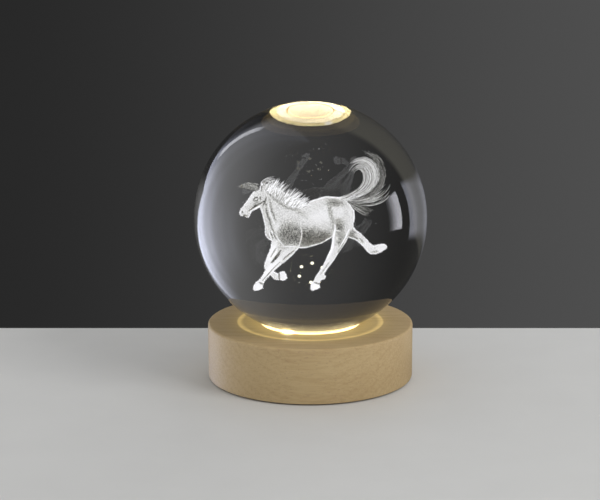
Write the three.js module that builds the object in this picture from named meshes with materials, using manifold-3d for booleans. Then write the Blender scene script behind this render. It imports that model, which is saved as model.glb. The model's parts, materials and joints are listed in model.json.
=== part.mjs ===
// Crystal ball lamp: a glass ball with an engraved horse, resting in the lit hole of a turned wooden base.
// Millimetres, +Z up, front towards -Y, origin at the middle of the face the lamp stands on.
import * as THREE from "three";
import { mergeVertices } from "three/addons/utils/BufferGeometryUtils.js";
import Module from "manifold-3d";

const wasm = await Module();
wasm.setup();

// Ball and base
const ballDiameter = 80;
const baseDiameter = 71;
const baseHeight = 19.4;
const seatRadius = 16; // radius of the ball's section level with the wood's top
const fitGap = 0.3; // between pieces that only rest in or pass through each other
const overrun = 2; // how far a cutter runs past the face it opens

// Wooden base
const rimRounding = 0.8;
const heelChamfer = 0.6;
const webThickness = 6.5; // wood left between the wiring pocket and the top
const woodRimWidth = 4.2; // wood left outside the bottom cover
const coverLedge = 4.3; // width of the step that carries the bottom cover

// Seat ring
const seatLedge = 0.6; // how far the light hole is narrower than the seat
const ringLip = 0.9; // how far the ring reaches past the seat
const ringHeight = 1.5;
const ringDrop = 0.2; // the ring's top lies this far below the wood's

// Light engine
const boardThickness = 1.2;
const boardRim = 4.6; // board reaching past the light hole, under the wood
const ledCircleRadius = 8.5;
const ledLength = 3.5;
const ledWidth = 2.8;
const ledHeight = 0.8;
const ledLensRadius = 1.1;
const ledLensHeight = 0.15;
const ledCount = 6;
const resistorLength = 3.2;
const resistorWidth = 1.6;
const resistorHeight = 0.6;
const resistorSpacing = 5;

// Screws
const screwRadius = 0.9;
const screwHeadRadius = 1.8;
const screwHeadHeight = 1.1;
const screwHole = 1.2;
const boardScrewBite = 3; // length of screw in the wood
const coverScrewBite = 5;
const crossWidth = 0.45;
const crossDepth = 0.5;
const coverScrewCount = 3;

// Underside
const padThickness = 1.2;
const padProud = 0.4; // the pad stands this far below the wood
const coverThickness = 1.6;

// Power inlet and button, on radial axes at the back
const ledgeThickness = 0.9; // wood left between the bottom cover and the inlet nut's seat
const inletAngle = THREE.MathUtils.degToRad(105);
const buttonAngle = THREE.MathUtils.degToRad(75);
const spotDepth = 1.3; // depth of the flat seat sunk in the round side
const flangeThickness = 1;
const inletFlangeRadius = 4.2;
const inletSleeveRadius = 2.75;
const inletBoreRadius = 1.9;
const inletLength = 10.5;
const inletBackWall = 1.4;
const pinRadius = 0.6;
const pinRecess = 1.6;
const pinCollarRadius = 1.2;
const pinTail = 1.6;
const nutRadius = 4.2;
const nutThickness = 2;
const nutWall = 5; // wood gripped between the inlet's flange and its nut
const bezelFlangeRadius = 4.8;
const bezelWall = 0.7;
const bezelFloor = 1;
const capRadius = 3;
const capProud = 1.5; // button face beyond the bezel at rest
const capThickness = 3.4;
const capRounding = 0.5;
const buttonTravel = 1.5;
const stemRadius = 1.2;
const stemGrip = 1.2; // stem inside the switch at rest
const switchWidth = 7;
const switchHeight = 6;
const switchDepth = 5.8;

// Wires
const wireRadius = 0.6;
const terminalOffset = 2;
const terminalDrop = 1.6; // the switch's terminals lie this far below its axis
const padCircleRadius = 13; // where the wires meet the board

// Engraved horse, as long as this from muzzle to tail
const horseLength = 35;
const engravingVent = 0.4; // radius of the fine channel that opens the engraved hollow downwards

// Fineness of round shapes
const fineSides = 64;
const ballRings = 24;
const ballSides = 44;
const smallSides = 16;
const hexagonSides = 6;
const horseSides = 10;
const arcSteps = 4;
const wireSides = 8;
const wireSteps = 14;

const quarterTurn = Math.PI / 2;
const fullTurn = Math.PI * 2;

// Sizes worked out from the ones above
const ballRadius = ballDiameter / 2;
const baseRadius = baseDiameter / 2;
const ballCentre = baseHeight + Math.sqrt(ballRadius ** 2 - seatRadius ** 2);
const clearOfBall = ballRadius + fitGap;
const lightHoleRadius = seatRadius - seatLedge;
const ringRadius = seatRadius + ringLip;
const ringTop = baseHeight - ringDrop;
const ringBottom = ringTop - ringHeight;
const coverSeatRadius = baseRadius - woodRimWidth;
const pocketRadius = coverSeatRadius - coverLedge;
const coverRadius = coverSeatRadius - fitGap;
const coverTop = padThickness + coverThickness;
const boardTop = baseHeight - webThickness;
const boardBottom = boardTop - boardThickness;
const boardRadius = lightHoleRadius + boardRim;
const boardScrewCircle = lightHoleRadius + boardRim / 2;
const coverScrewCircle = (coverSeatRadius + pocketRadius) / 2;
const spotFace = baseRadius - spotDepth;
const flangeFace = spotFace + flangeThickness;
const rearHeight = coverTop + ledgeThickness + fitGap + nutRadius; // height of both axes at the back
const nutSeat = spotFace - nutWall;
const bezelOuterRadius = capRadius + fitGap + bezelWall;
const switchFace = Math.sqrt(pocketRadius ** 2 - (switchWidth / 2 + fitGap) ** 2) - fitGap * 2;
const bezelInner = switchFace + fitGap; // the switch is held against the bezel's inner end
const capFace = flangeFace + capProud;
const stemEnd = switchFace - stemGrip;

// The horse's forms. Each row is an oval section: its place along and up, half its depth, half its width, and
// how far it lies to the side, all as shares of the horse's length, from the ball's centre.
const torsoShares = [
  [-0.275, -0.09, 0.055, 0.04, 0], [-0.225, -0.075, 0.1, 0.075, 0],
  [-0.16, -0.07, 0.125, 0.1, 0], [-0.075, -0.07, 0.135, 0.11, 0],
  [0.01, -0.05, 0.13, 0.115, 0], [0.075, -0.02, 0.135, 0.115, 0],
  [0.14, 0.005, 0.13, 0.115, 0], [0.2, 0.01, 0.11, 0.1, 0],
  [0.245, -0.005, 0.075, 0.07, 0], [0.275, -0.01, 0.04, 0.035, 0],
];
const neckShares = [
  [-0.175, -0.055, 0.11, 0.075, 0], [-0.215, 0.005, 0.105, 0.065, 0],
  [-0.25, 0.075, 0.075, 0.05, 0], [-0.285, 0.125, 0.055, 0.04, 0],
  [-0.31, 0.165, 0.04, 0.03, 0],
];
const headShares = [
  [-0.295, 0.165, 0.035, 0.028, 0], [-0.335, 0.135, 0.05, 0.036, 0],
  [-0.375, 0.1, 0.04, 0.03, 0], [-0.405, 0.07, 0.03, 0.024, 0],
  [-0.435, 0.045, 0.028, 0.024, 0], [-0.455, 0.025, 0.02, 0.018, 0],
  [-0.465, 0.015, 0.01, 0.01, 0],
];
const nearEarShares = [
  [-0.315, 0.175, 0.015, 0.012, -0.02], [-0.322, 0.21, 0.011, 0.009, -0.022],
  [-0.33, 0.235, 0.003, 0.003, -0.024],
];
const farEarShares = [
  [-0.35, 0.17, 0.015, 0.012, 0.018], [-0.365, 0.2, 0.011, 0.009, 0.022],
  [-0.38, 0.225, 0.003, 0.003, 0.026],
];
const maneShares = [
  [-0.325, 0.225, 0.02, 0.012, -0.01], [-0.28, 0.215, 0.045, 0.026, -0.016],
  [-0.22, 0.18, 0.055, 0.032, -0.022], [-0.155, 0.14, 0.055, 0.034, -0.026],
  [-0.095, 0.11, 0.04, 0.034, -0.024], [-0.04, 0.095, 0.025, 0.028, -0.018],
  [0.005, 0.09, 0.008, 0.01, -0.01],
];
const nearForelegShares = [
  [-0.13, -0.06, 0.04, 0.025, -0.065], [-0.12, -0.135, 0.062, 0.042, -0.06],
  [-0.13, -0.21, 0.036, 0.03, -0.062], [-0.17, -0.255, 0.029, 0.024, -0.062],
  [-0.22, -0.305, 0.022, 0.019, -0.06], [-0.27, -0.365, 0.021, 0.018, -0.058],
  [-0.3, -0.395, 0.015, 0.013, -0.058], [-0.325, -0.425, 0.018, 0.016, -0.058],
  [-0.345, -0.455, 0.014, 0.014, -0.058], [-0.355, -0.475, 0.024, 0.02, -0.058],
  [-0.365, -0.5, 0.03, 0.025, -0.058],
];
const farForelegShares = [
  [-0.215, -0.12, 0.055, 0.035, 0.05], [-0.228, -0.195, 0.036, 0.028, 0.058],
  [-0.26, -0.265, 0.028, 0.022, 0.06], [-0.285, -0.33, 0.023, 0.02, 0.06],
  [-0.275, -0.37, 0.017, 0.015, 0.06], [-0.25, -0.39, 0.015, 0.013, 0.06],
  [-0.225, -0.398, 0.018, 0.016, 0.06], [-0.205, -0.398, 0.016, 0.014, 0.06],
  [-0.165, -0.392, 0.027, 0.023, 0.06],
];
const nearHindlegShares = [
  [0.18, 0.09, 0.035, 0.025, -0.05], [0.195, 0.03, 0.08, 0.055, -0.055],
  [0.205, -0.075, 0.065, 0.05, -0.06], [0.19, -0.15, 0.045, 0.036, -0.062],
  [0.165, -0.215, 0.03, 0.026, -0.062], [0.135, -0.275, 0.025, 0.021, -0.062],
  [0.105, -0.33, 0.018, 0.016, -0.062], [0.08, -0.385, 0.021, 0.018, -0.062],
  [0.055, -0.425, 0.016, 0.015, -0.062], [0.045, -0.445, 0.024, 0.021, -0.062],
  [0.025, -0.48, 0.031, 0.026, -0.062],
];
const farHindlegShares = [
  [0.2, -0.06, 0.06, 0.045, 0.05], [0.26, -0.105, 0.03, 0.028, 0.058],
  [0.305, -0.12, 0.026, 0.022, 0.06], [0.335, -0.15, 0.022, 0.019, 0.06],
  [0.37, -0.19, 0.019, 0.016, 0.06], [0.4, -0.22, 0.022, 0.018, 0.06],
  [0.43, -0.226, 0.018, 0.015, 0.06], [0.45, -0.221, 0.026, 0.02, 0.06],
  [0.495, -0.205, 0.033, 0.026, 0.06],
];
const tailCurlShares = [
  [0.205, 0.09, 0.016, 0.015, 0], [0.255, 0.15, 0.03, 0.024, 0],
  [0.32, 0.19, 0.05, 0.032, 0], [0.385, 0.23, 0.072, 0.036, 0],
  [0.435, 0.3, 0.082, 0.036, 0], [0.41, 0.38, 0.06, 0.032, 0],
  [0.345, 0.405, 0.04, 0.028, 0], [0.285, 0.388, 0.028, 0.022, 0],
  [0.25, 0.35, 0.018, 0.014, 0], [0.232, 0.31, 0.006, 0.006, 0],
];
const tailPlumeShares = [
  [0.235, 0.125, 0.022, 0.018, 0.01], [0.3, 0.14, 0.05, 0.026, 0.014],
  [0.37, 0.15, 0.075, 0.032, 0.016], [0.435, 0.175, 0.075, 0.03, 0.014],
  [0.48, 0.225, 0.056, 0.022, 0.01], [0.505, 0.28, 0.026, 0.01, 0.005],
];
const tailTipShares = [
  [0.32, 0.115, 0.036, 0.018, 0.014], [0.36, 0.08, 0.044, 0.022, 0.016],
  [0.385, 0.05, 0.034, 0.016, 0.016], [0.4, 0.02, 0.01, 0.006, 0.016],
];
const horseForms = [
  torsoShares, neckShares, headShares, nearEarShares, farEarShares, maneShares, nearForelegShares,
  farForelegShares, nearHindlegShares, farHindlegShares, tailCurlShares, tailPlumeShares, tailTipShares,
];

// A closed geometry as a solid that can be joined and cut.
function solid(geometry) {
  const shell = geometry.clone();
  for (const name of Object.keys(shell.attributes)) if (name !== "position") shell.deleteAttribute(name);
  const merged = mergeVertices(shell);
  return new wasm.Manifold(
    new wasm.Mesh({
      numProp: 3,
      vertProperties: merged.attributes.position.array,
      triVerts: new Uint32Array(merged.index.array),
    }),
  );
}

// A solid as a geometry again.
function geometryOf(body) {
  const mesh = body.getMesh();
  const geometry = new THREE.BufferGeometry();
  geometry.setAttribute("position", new THREE.BufferAttribute(new Float32Array(mesh.vertProperties), 3));
  geometry.setIndex(new THREE.BufferAttribute(new Uint32Array(mesh.triVerts), 1));
  const faceted = geometry.toNonIndexed();
  faceted.computeVertexNormals();
  return faceted;
}

// A body with others taken out of it.
function cut(body, cutters) {
  return geometryOf(cutters.reduce((left, cutter) => left.subtract(solid(cutter)), solid(body)));
}

// Bodies joined into one.
function join(bodies) {
  return geometryOf(bodies.map(solid).reduce((whole, body) => whole.add(body)));
}

// A profile of [radius, height] points turned about the upright axis.
function turned(profile, sides) {
  const points = profile.map(([radius, height]) => new THREE.Vector2(radius, height));
  return new THREE.LatheGeometry(points, sides).rotateX(quarterTurn);
}

// A profile of [radius, distance] points turned about the X axis, which points out of the lamp's side.
function turnedOutward(profile, sides) {
  const points = profile.map(([radius, distance]) => new THREE.Vector2(radius, distance));
  return new THREE.LatheGeometry(points, sides).rotateZ(-quarterTurn);
}

// A round rod between two heights, and one between two distances along X.
function rod(radius, bottom, top, sides) {
  return turned([[0, bottom], [radius, bottom], [radius, top], [0, top]], sides);
}
function outwardRod(radius, inner, outer, sides) {
  return turnedOutward([[0, inner], [radius, inner], [radius, outer], [0, outer]], sides);
}

// Points of an arc in a profile.
function arc(radius, centreAcross, centreUp, from, to) {
  return Array.from({ length: arcSteps + 1 }, (_, step) => {
    const angle = from + ((to - from) * step) / arcSteps;
    return [centreAcross + radius * Math.cos(angle), centreUp + radius * Math.sin(angle)];
  });
}

// Puts a geometry made along X on its radial axis at the back.
function atRear(geometry, angle) {
  return geometry.rotateZ(angle).translate(0, 0, rearHeight);
}

// A point at an angle round the lamp.
function polar(angle, radius, height) {
  return new THREE.Vector3(radius * Math.cos(angle), radius * Math.sin(angle), height);
}

function material(color, roughness, metalness) {
  return new THREE.MeshStandardMaterial({ color, roughness, metalness });
}

function piece(name, geometry, finish) {
  const mesh = new THREE.Mesh(geometry, finish);
  mesh.name = name;
  return mesh;
}

// Ovals threaded on a path and closed at both ends. Growing them makes the hollow that they lie in.
function threaded(rows, grow) {
  const positions = [];
  const faces = [];
  const last = rows.length - 1;
  rows.forEach(([along, up, depth, width, side], row) => {
    const before = rows[Math.max(row - 1, 0)];
    const after = rows[Math.min(row + 1, last)];
    const way = new THREE.Vector2(after[0] - before[0], after[1] - before[1]).normalize();
    const end = (row === last) - (row === 0);
    const centre = new THREE.Vector3(along, side, up).multiplyScalar(horseLength);
    centre.add(new THREE.Vector3(way.x, 0, way.y).multiplyScalar(end * grow));
    for (let step = 0; step < horseSides; step++) {
      const angle = (fullTurn * step) / horseSides;
      const inPlane = (depth * horseLength + grow) * Math.cos(angle);
      const sideways = (width * horseLength + grow) * Math.sin(angle);
      positions.push(centre.x - way.y * inPlane, centre.y - sideways, centre.z + way.x * inPlane);
    }
  });
  for (let row = 0; row < last; row++)
    for (let step = 0; step < horseSides; step++) {
      const here = row * horseSides + step;
      const next = row * horseSides + ((step + 1) % horseSides);
      faces.push(here, next, next + horseSides, here, next + horseSides, here + horseSides);
    }
  for (let step = 1; step < horseSides - 1; step++) {
    const lastRing = last * horseSides;
    faces.push(0, step + 1, step, lastRing, lastRing + step, lastRing + step + 1);
  }
  const geometry = new THREE.BufferGeometry();
  geometry.setAttribute("position", new THREE.Float32BufferAttribute(positions, 3));
  geometry.setIndex(faces);
  return geometry;
}

function horse(grow) {
  return join(horseForms.map((rows) => threaded(rows, grow))).translate(0, 0, ballCentre);
}

// The ball is solid glass but for the engraved volume and the fine channel that leads down from a hind hoof.
function crystalBall() {
  const sphere = new THREE.SphereGeometry(ballRadius, ballSides, ballRings).rotateX(quarterTurn);
  const [hoofAlong, hoofUp, , , hoofSide] = nearHindlegShares[nearHindlegShares.length - 1];
  const vent = rod(engravingVent, -clearOfBall, hoofUp * horseLength, wireSides);
  vent.translate(hoofAlong * horseLength, hoofSide * horseLength, 0);
  return cut(sphere.translate(0, 0, ballCentre), [horse(fitGap), vent.translate(0, 0, ballCentre)]);
}

// The soft ring's inner edge leans back to leave room for the ball.
function seatRing() {
  const meets = (radius) => ballCentre - Math.sqrt(clearOfBall ** 2 - radius ** 2);
  const topInner = Math.sqrt(clearOfBall ** 2 - (ballCentre - ringTop) ** 2);
  return turned(
    [
      [lightHoleRadius, ringBottom], [ringRadius, ringBottom], [ringRadius, ringTop], [topInner, ringTop],
      [lightHoleRadius, meets(lightHoleRadius)], [lightHoleRadius, ringBottom],
    ],
    fineSides,
  );
}

// The wood is turned from above with a light hole and a rebate for the ring, and from below with a wiring
// pocket and a step for the cover. The back is drilled and spot faced for the inlet and the button, and the
// wood is sunk from inside for the inlet's nut and wherever the switch would meet it.
function woodBase() {
  const rebateRadius = ringRadius + fitGap;
  const rebateFloor = ringBottom - fitGap;
  const body = turned(
    [
      [coverSeatRadius, padProud], [baseRadius - heelChamfer, padProud], [baseRadius, padProud + heelChamfer],
      ...arc(rimRounding, baseRadius - rimRounding, baseHeight - rimRounding, 0, quarterTurn),
      [rebateRadius, baseHeight], [rebateRadius, rebateFloor], [lightHoleRadius, rebateFloor],
      [lightHoleRadius, boardTop], [pocketRadius, boardTop], [pocketRadius, coverTop],
      [coverSeatRadius, coverTop], [coverSeatRadius, padProud],
    ],
    fineSides,
  );
  const beyond = baseRadius + overrun;
  const within = pocketRadius - overrun;
  return cut(body, [
    atRear(outwardRod(inletSleeveRadius + fitGap, within, beyond, smallSides), inletAngle),
    atRear(outwardRod(inletFlangeRadius + fitGap, spotFace, beyond, smallSides), inletAngle),
    atRear(outwardRod(nutRadius + fitGap, within, nutSeat, smallSides), inletAngle),
    atRear(outwardRod(bezelOuterRadius + fitGap, within, beyond, smallSides), buttonAngle),
    atRear(outwardRod(bezelFlangeRadius + fitGap, spotFace, beyond, smallSides), buttonAngle),
    atRear(switchBlock(fitGap), buttonAngle),
    ...screwPlaces(boardScrewCircle, [0, Math.PI]).map(([x, y]) =>
      rod(screwHole, boardTop - overrun, boardTop + boardScrewBite + fitGap, smallSides).translate(x, y, 0)),
    ...screwPlaces(coverScrewCircle, coverScrewAngles).map(([x, y]) =>
      rod(screwHole, coverTop - overrun, coverTop + coverScrewBite + fitGap, smallSides).translate(x, y, 0)),
  ]);
}

// Evenly spread angles, the first one towards the front.
const coverScrewAngles = Array.from(
  { length: coverScrewCount },
  (_, place) => -quarterTurn + (fullTurn * place) / coverScrewCount,
);
const ledAngles = Array.from({ length: ledCount }, (_, place) => quarterTurn + (fullTurn * place) / ledCount);

function screwPlaces(circle, angles) {
  return angles.map((angle) => [circle * Math.cos(angle), circle * Math.sin(angle)]);
}

// A screw pointing up, with the underside of its head, or the wide end of its cone, at the given heights.
function screw(profile, slotBottom) {
  const arm = screwHeadRadius;
  const slots = [[arm, crossWidth], [crossWidth, arm]].map(([across, along]) =>
    new THREE.BoxGeometry(across, along, crossDepth * 2).translate(0, 0, slotBottom));
  return cut(turned(profile, smallSides), slots);
}

function boardScrew() {
  const head = boardBottom - screwHeadHeight;
  const tip = boardTop + boardScrewBite;
  return screw(
    [[0, head], [screwHeadRadius, head], [screwHeadRadius, boardBottom], [screwRadius, boardBottom],
      [screwRadius, tip - screwRadius], [0, tip]],
    head,
  );
}

function coverScrew() {
  const head = padThickness + fitGap;
  const shoulder = head + screwHeadHeight;
  const tip = coverTop + coverScrewBite;
  return screw(
    [[0, head], [screwHeadRadius, head], [screwRadius, shoulder], [screwRadius, tip - screwRadius], [0, tip]],
    head,
  );
}

// The cover's screw holes are countersunk from below.
function bottomCover() {
  const disc = rod(coverRadius, padThickness, coverTop, fineSides);
  const sink = padThickness + fitGap + screwHeadHeight;
  const cone = [
    [0, padThickness - overrun], [screwHeadRadius + fitGap, padThickness - overrun],
    [screwHeadRadius + fitGap, padThickness + fitGap], [screwHole, sink], [screwHole, coverTop + overrun],
    [0, coverTop + overrun],
  ];
  return cut(disc, screwPlaces(coverScrewCircle, coverScrewAngles).map(([x, y]) =>
    turned(cone, smallSides).translate(x, y, 0)));
}

function ledBoard() {
  return cut(
    rod(boardRadius, boardBottom, boardTop, fineSides),
    screwPlaces(boardScrewCircle, [0, Math.PI]).map(([x, y]) =>
      rod(screwHole, boardBottom - overrun, boardTop + overrun, smallSides).translate(x, y, 0)),
  );
}

// A white package with a low round lens.
function led() {
  const box = new THREE.BoxGeometry(ledLength, ledWidth, ledHeight).translate(0, 0, ledHeight / 2);
  return join([box, rod(ledLensRadius, ledHeight / 2, ledHeight + ledLensHeight, smallSides)]);
}

// The inlet's threaded sleeve, with a flange outside and a drilled back wall inside.
function inletShell() {
  const back = flangeFace - inletLength;
  return turnedOutward(
    [
      [pinRadius + fitGap, back], [inletSleeveRadius, back], [inletSleeveRadius, spotFace],
      [inletFlangeRadius, spotFace], [inletFlangeRadius, flangeFace], [inletBoreRadius, flangeFace],
      [inletBoreRadius, back + inletBackWall], [pinRadius + fitGap, back + inletBackWall],
      [pinRadius + fitGap, back],
    ],
    smallSides,
  );
}

function inletPin() {
  const back = flangeFace - inletLength - fitGap;
  const tip = flangeFace - pinRecess;
  return turnedOutward(
    [
      [0, back - pinTail], [pinCollarRadius, back - pinTail], [pinCollarRadius, back], [pinRadius, back],
      [pinRadius, tip - pinRadius], [pinRadius / 2, tip], [0, tip],
    ],
    smallSides,
  );
}

// The hexagon nut that holds the inlet, sunk in the pocket's wall.
function inletNut() {
  const outer = nutSeat - fitGap;
  const inner = outer - nutThickness;
  const hexagon = new THREE.CylinderGeometry(nutRadius, nutRadius, nutThickness, hexagonSides);
  hexagon.rotateZ(-quarterTurn).translate((inner + outer) / 2, 0, 0);
  return cut(hexagon, [outwardRod(inletSleeveRadius + fitGap, inner - overrun, outer + overrun, smallSides)]);
}

// The button's guide: a sleeve with a flange outside and a drilled floor inside.
function buttonBezel() {
  const guide = capRadius + fitGap;
  const stemHole = stemRadius + fitGap;
  return turnedOutward(
    [
      [stemHole, bezelInner], [bezelOuterRadius, bezelInner], [bezelOuterRadius, spotFace],
      [bezelFlangeRadius, spotFace], [bezelFlangeRadius, flangeFace], [guide, flangeFace],
      [guide, bezelInner + bezelFloor], [stemHole, bezelInner + bezelFloor], [stemHole, bezelInner],
    ],
    smallSides,
  );
}

function powerButton() {
  const shoulder = capFace - capThickness;
  return turnedOutward(
    [
      [0, stemEnd], [stemRadius, stemEnd], [stemRadius, shoulder], [capRadius, shoulder],
      ...arc(capRounding, capRadius - capRounding, capFace - capRounding, 0, quarterTurn), [0, capFace],
    ],
    smallSides,
  );
}

// The switch's outer form, grown on every side.
function switchBlock(grow) {
  const block = new THREE.BoxGeometry(switchDepth + grow * 2, switchWidth + grow * 2, switchHeight + grow * 2);
  return block.translate(switchFace - switchDepth / 2, 0, 0);
}

function switchBody() {
  const wellEnd = stemEnd - buttonTravel - fitGap;
  return cut(switchBlock(0), [outwardRod(stemRadius + fitGap, wellEnd, switchFace + overrun, smallSides)]);
}

// A wire along a smooth curve.
function wire(points) {
  const section = new THREE.Shape(
    Array.from({ length: wireSides }, (_, step) => {
      const angle = (fullTurn * step) / wireSides;
      return new THREE.Vector2(wireRadius * Math.cos(angle), wireRadius * Math.sin(angle));
    }),
  );
  return new THREE.ExtrudeGeometry(section, {
    steps: wireSteps,
    bevelEnabled: false,
    extrudePath: new THREE.CatmullRomCurve3(points),
  });
}

const wood = material(0xc79a63, 0.55, 0);
const glass = new THREE.MeshStandardMaterial({
  color: 0xe8eef2, roughness: 0.02, metalness: 0, transparent: true, opacity: 0.3,
});
const engraving = material(0xf4f4f2, 0.9, 0);
const silicone = material(0xe6e6e0, 0.35, 0);
const boardWhite = material(0xeeeeea, 0.5, 0);
const ledPackage = material(0xffe9a8, 0.4, 0);
const blackPlastic = material(0x1b1b1c, 0.5, 0);
const darkChip = material(0x242426, 0.5, 0);
const nickel = material(0xb9b9b4, 0.3, 1);
const steel = material(0x9c9da0, 0.35, 1);
const rubber = material(0x202020, 0.9, 0);
const redWire = material(0xa82018, 0.5, 0);
const blackWire = material(0x151515, 0.5, 0);

// Where the inside wires start and end. Between their ends they run midway between the cover and the board.
const wireLevel = (coverTop + boardBottom) / 2;
const switchBack = switchFace - switchDepth - fitGap;
const terminalLevel = rearHeight - terminalDrop;
const terminalAngle = Math.atan2(terminalOffset, switchBack);
const pinBack = flangeFace - inletLength - pinTail - fitGap * 2;
const shellBack = flangeFace - inletLength - fitGap;
const lugAngle = Math.atan2(terminalOffset, shellBack);
const padLevel = boardBottom - fitGap;
const bendRadius = padCircleRadius + terminalOffset * 2;
const padTurn = Math.asin((switchWidth / 2 + wireRadius + fitGap * 2) / padCircleRadius);
const switchPadAngle = buttonAngle - padTurn;
const inletPadAngle = inletAngle + padTurn;

const inletToSwitch = [
  polar(inletAngle, pinBack, rearHeight),
  polar(inletAngle, pinBack - terminalOffset, wireLevel),
  polar((inletAngle + buttonAngle) / 2, switchBack - terminalOffset * 2, wireLevel),
  polar(buttonAngle + terminalAngle, switchBack - terminalOffset, wireLevel),
  polar(buttonAngle + terminalAngle, switchBack, terminalLevel),
];
const switchToBoard = [
  polar(buttonAngle - terminalAngle, switchBack, terminalLevel),
  polar(buttonAngle - terminalAngle, switchBack - terminalOffset, wireLevel),
  polar(switchPadAngle, bendRadius - terminalOffset, wireLevel),
  polar(switchPadAngle, padCircleRadius, padLevel - terminalOffset),
  polar(switchPadAngle, padCircleRadius, padLevel),
];
const inletToBoard = [
  polar(inletAngle + lugAngle, shellBack, rearHeight),
  polar(inletAngle + lugAngle, shellBack - terminalOffset, wireLevel),
  polar(inletPadAngle, bendRadius, wireLevel),
  polar(inletPadAngle, padCircleRadius, padLevel - terminalOffset),
  polar(inletPadAngle, padCircleRadius, padLevel),
];

const lamp = new THREE.Group();
lamp.add(
  piece("wood_base", woodBase(), wood),
  piece("seat_ring", seatRing(), silicone),
  piece("crystal_ball", crystalBall(), glass),
  piece("engraved_horse", horse(0), engraving),
  piece("led_board", ledBoard(), boardWhite),
  piece("bottom_cover", bottomCover(), blackPlastic),
  piece("foot_pad", rod(coverRadius, 0, padThickness, fineSides), rubber),
  piece("wire_inlet_to_switch", wire(inletToSwitch), redWire),
  piece("wire_switch_to_board", wire(switchToBoard), redWire),
  piece("wire_inlet_to_board", wire(inletToBoard), blackWire),
);

ledAngles.forEach((angle, place) => {
  const mesh = piece(`led_${place + 1}`, led(), ledPackage);
  mesh.position.copy(polar(angle, ledCircleRadius, boardTop));
  mesh.rotation.z = angle + quarterTurn;
  lamp.add(mesh);
});

[-resistorSpacing, resistorSpacing].forEach((across, place) => {
  const chip = new THREE.BoxGeometry(resistorWidth, resistorLength, resistorHeight);
  const mesh = piece(`resistor_${place + 1}`, chip, darkChip);
  mesh.position.set(across, 0, boardBottom - resistorHeight / 2);
  lamp.add(mesh);
});

screwPlaces(boardScrewCircle, [0, Math.PI]).forEach(([x, y], place) => {
  const mesh = piece(`board_screw_${place + 1}`, boardScrew(), steel);
  mesh.position.set(x, y, 0);
  lamp.add(mesh);
});

screwPlaces(coverScrewCircle, coverScrewAngles).forEach(([x, y], place) => {
  const mesh = piece(`cover_screw_${place + 1}`, coverScrew(), steel);
  mesh.position.set(x, y, 0);
  lamp.add(mesh);
});

const inlet = new THREE.Group();
inlet.add(
  piece("inlet_shell", inletShell(), nickel),
  piece("inlet_pin", inletPin(), nickel),
  piece("inlet_nut", inletNut(), nickel),
);
inlet.position.z = rearHeight;
inlet.rotation.z = inletAngle;

const button = new THREE.Group();
button.add(
  piece("button_bezel", buttonBezel(), blackPlastic),
  piece("power_button", powerButton(), blackPlastic),
  piece("switch_body", switchBody(), darkChip),
);
button.position.z = rearHeight;
button.rotation.z = buttonAngle;

lamp.add(inlet, button);

export default lamp;
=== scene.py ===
# %% [markdown]
# # A crystal ball lamp
# A polished glass ball rests in the lit hole of a turned wooden base, and a galloping horse is engraved in the
# glass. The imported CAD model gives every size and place. Here each piece gets its fine form and its finish.

# %% Load the frame
import json
import math

import bmesh
import bpy
import numpy as np
from mathutils import Matrix, Vector

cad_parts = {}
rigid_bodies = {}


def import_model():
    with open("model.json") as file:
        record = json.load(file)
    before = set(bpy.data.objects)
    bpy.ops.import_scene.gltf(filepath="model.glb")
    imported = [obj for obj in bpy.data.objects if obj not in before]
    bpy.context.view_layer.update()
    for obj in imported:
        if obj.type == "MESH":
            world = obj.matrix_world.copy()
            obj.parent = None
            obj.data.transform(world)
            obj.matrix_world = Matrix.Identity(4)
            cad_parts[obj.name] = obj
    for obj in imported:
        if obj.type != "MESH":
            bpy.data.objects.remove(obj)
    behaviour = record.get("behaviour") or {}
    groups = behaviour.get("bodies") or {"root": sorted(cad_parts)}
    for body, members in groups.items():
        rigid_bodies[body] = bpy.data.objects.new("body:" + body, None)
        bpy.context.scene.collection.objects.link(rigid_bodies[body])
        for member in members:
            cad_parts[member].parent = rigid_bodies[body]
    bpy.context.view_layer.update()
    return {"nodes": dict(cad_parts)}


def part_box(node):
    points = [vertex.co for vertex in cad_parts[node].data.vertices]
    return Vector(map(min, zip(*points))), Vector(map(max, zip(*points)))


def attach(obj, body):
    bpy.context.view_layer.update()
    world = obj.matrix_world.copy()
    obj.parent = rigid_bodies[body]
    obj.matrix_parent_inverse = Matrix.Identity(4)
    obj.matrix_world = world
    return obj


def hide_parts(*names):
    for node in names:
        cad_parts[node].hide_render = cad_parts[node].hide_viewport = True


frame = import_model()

MM = 0.001

# %% [markdown]
# ## Camera
# The photograph was taken from a little above the ball, about 600 mm away. A long lens and a small shift put the
# ball's middle on the same pixel and at the same size as in the photograph.

# %% Camera
PICTURE_WIDTH_PX, PICTURE_HEIGHT_PX = 600, 500
BALL_MIDDLE_PX = (310.3, 217.7)
BALL_RADIUS_PX = 116.8
PX_PER_MM = 2.912
CAMERA_DISTANCE = 600 * MM
CAMERA_ELEVATION = math.radians(12)
SENSOR_WIDTH_MM = 36

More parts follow.
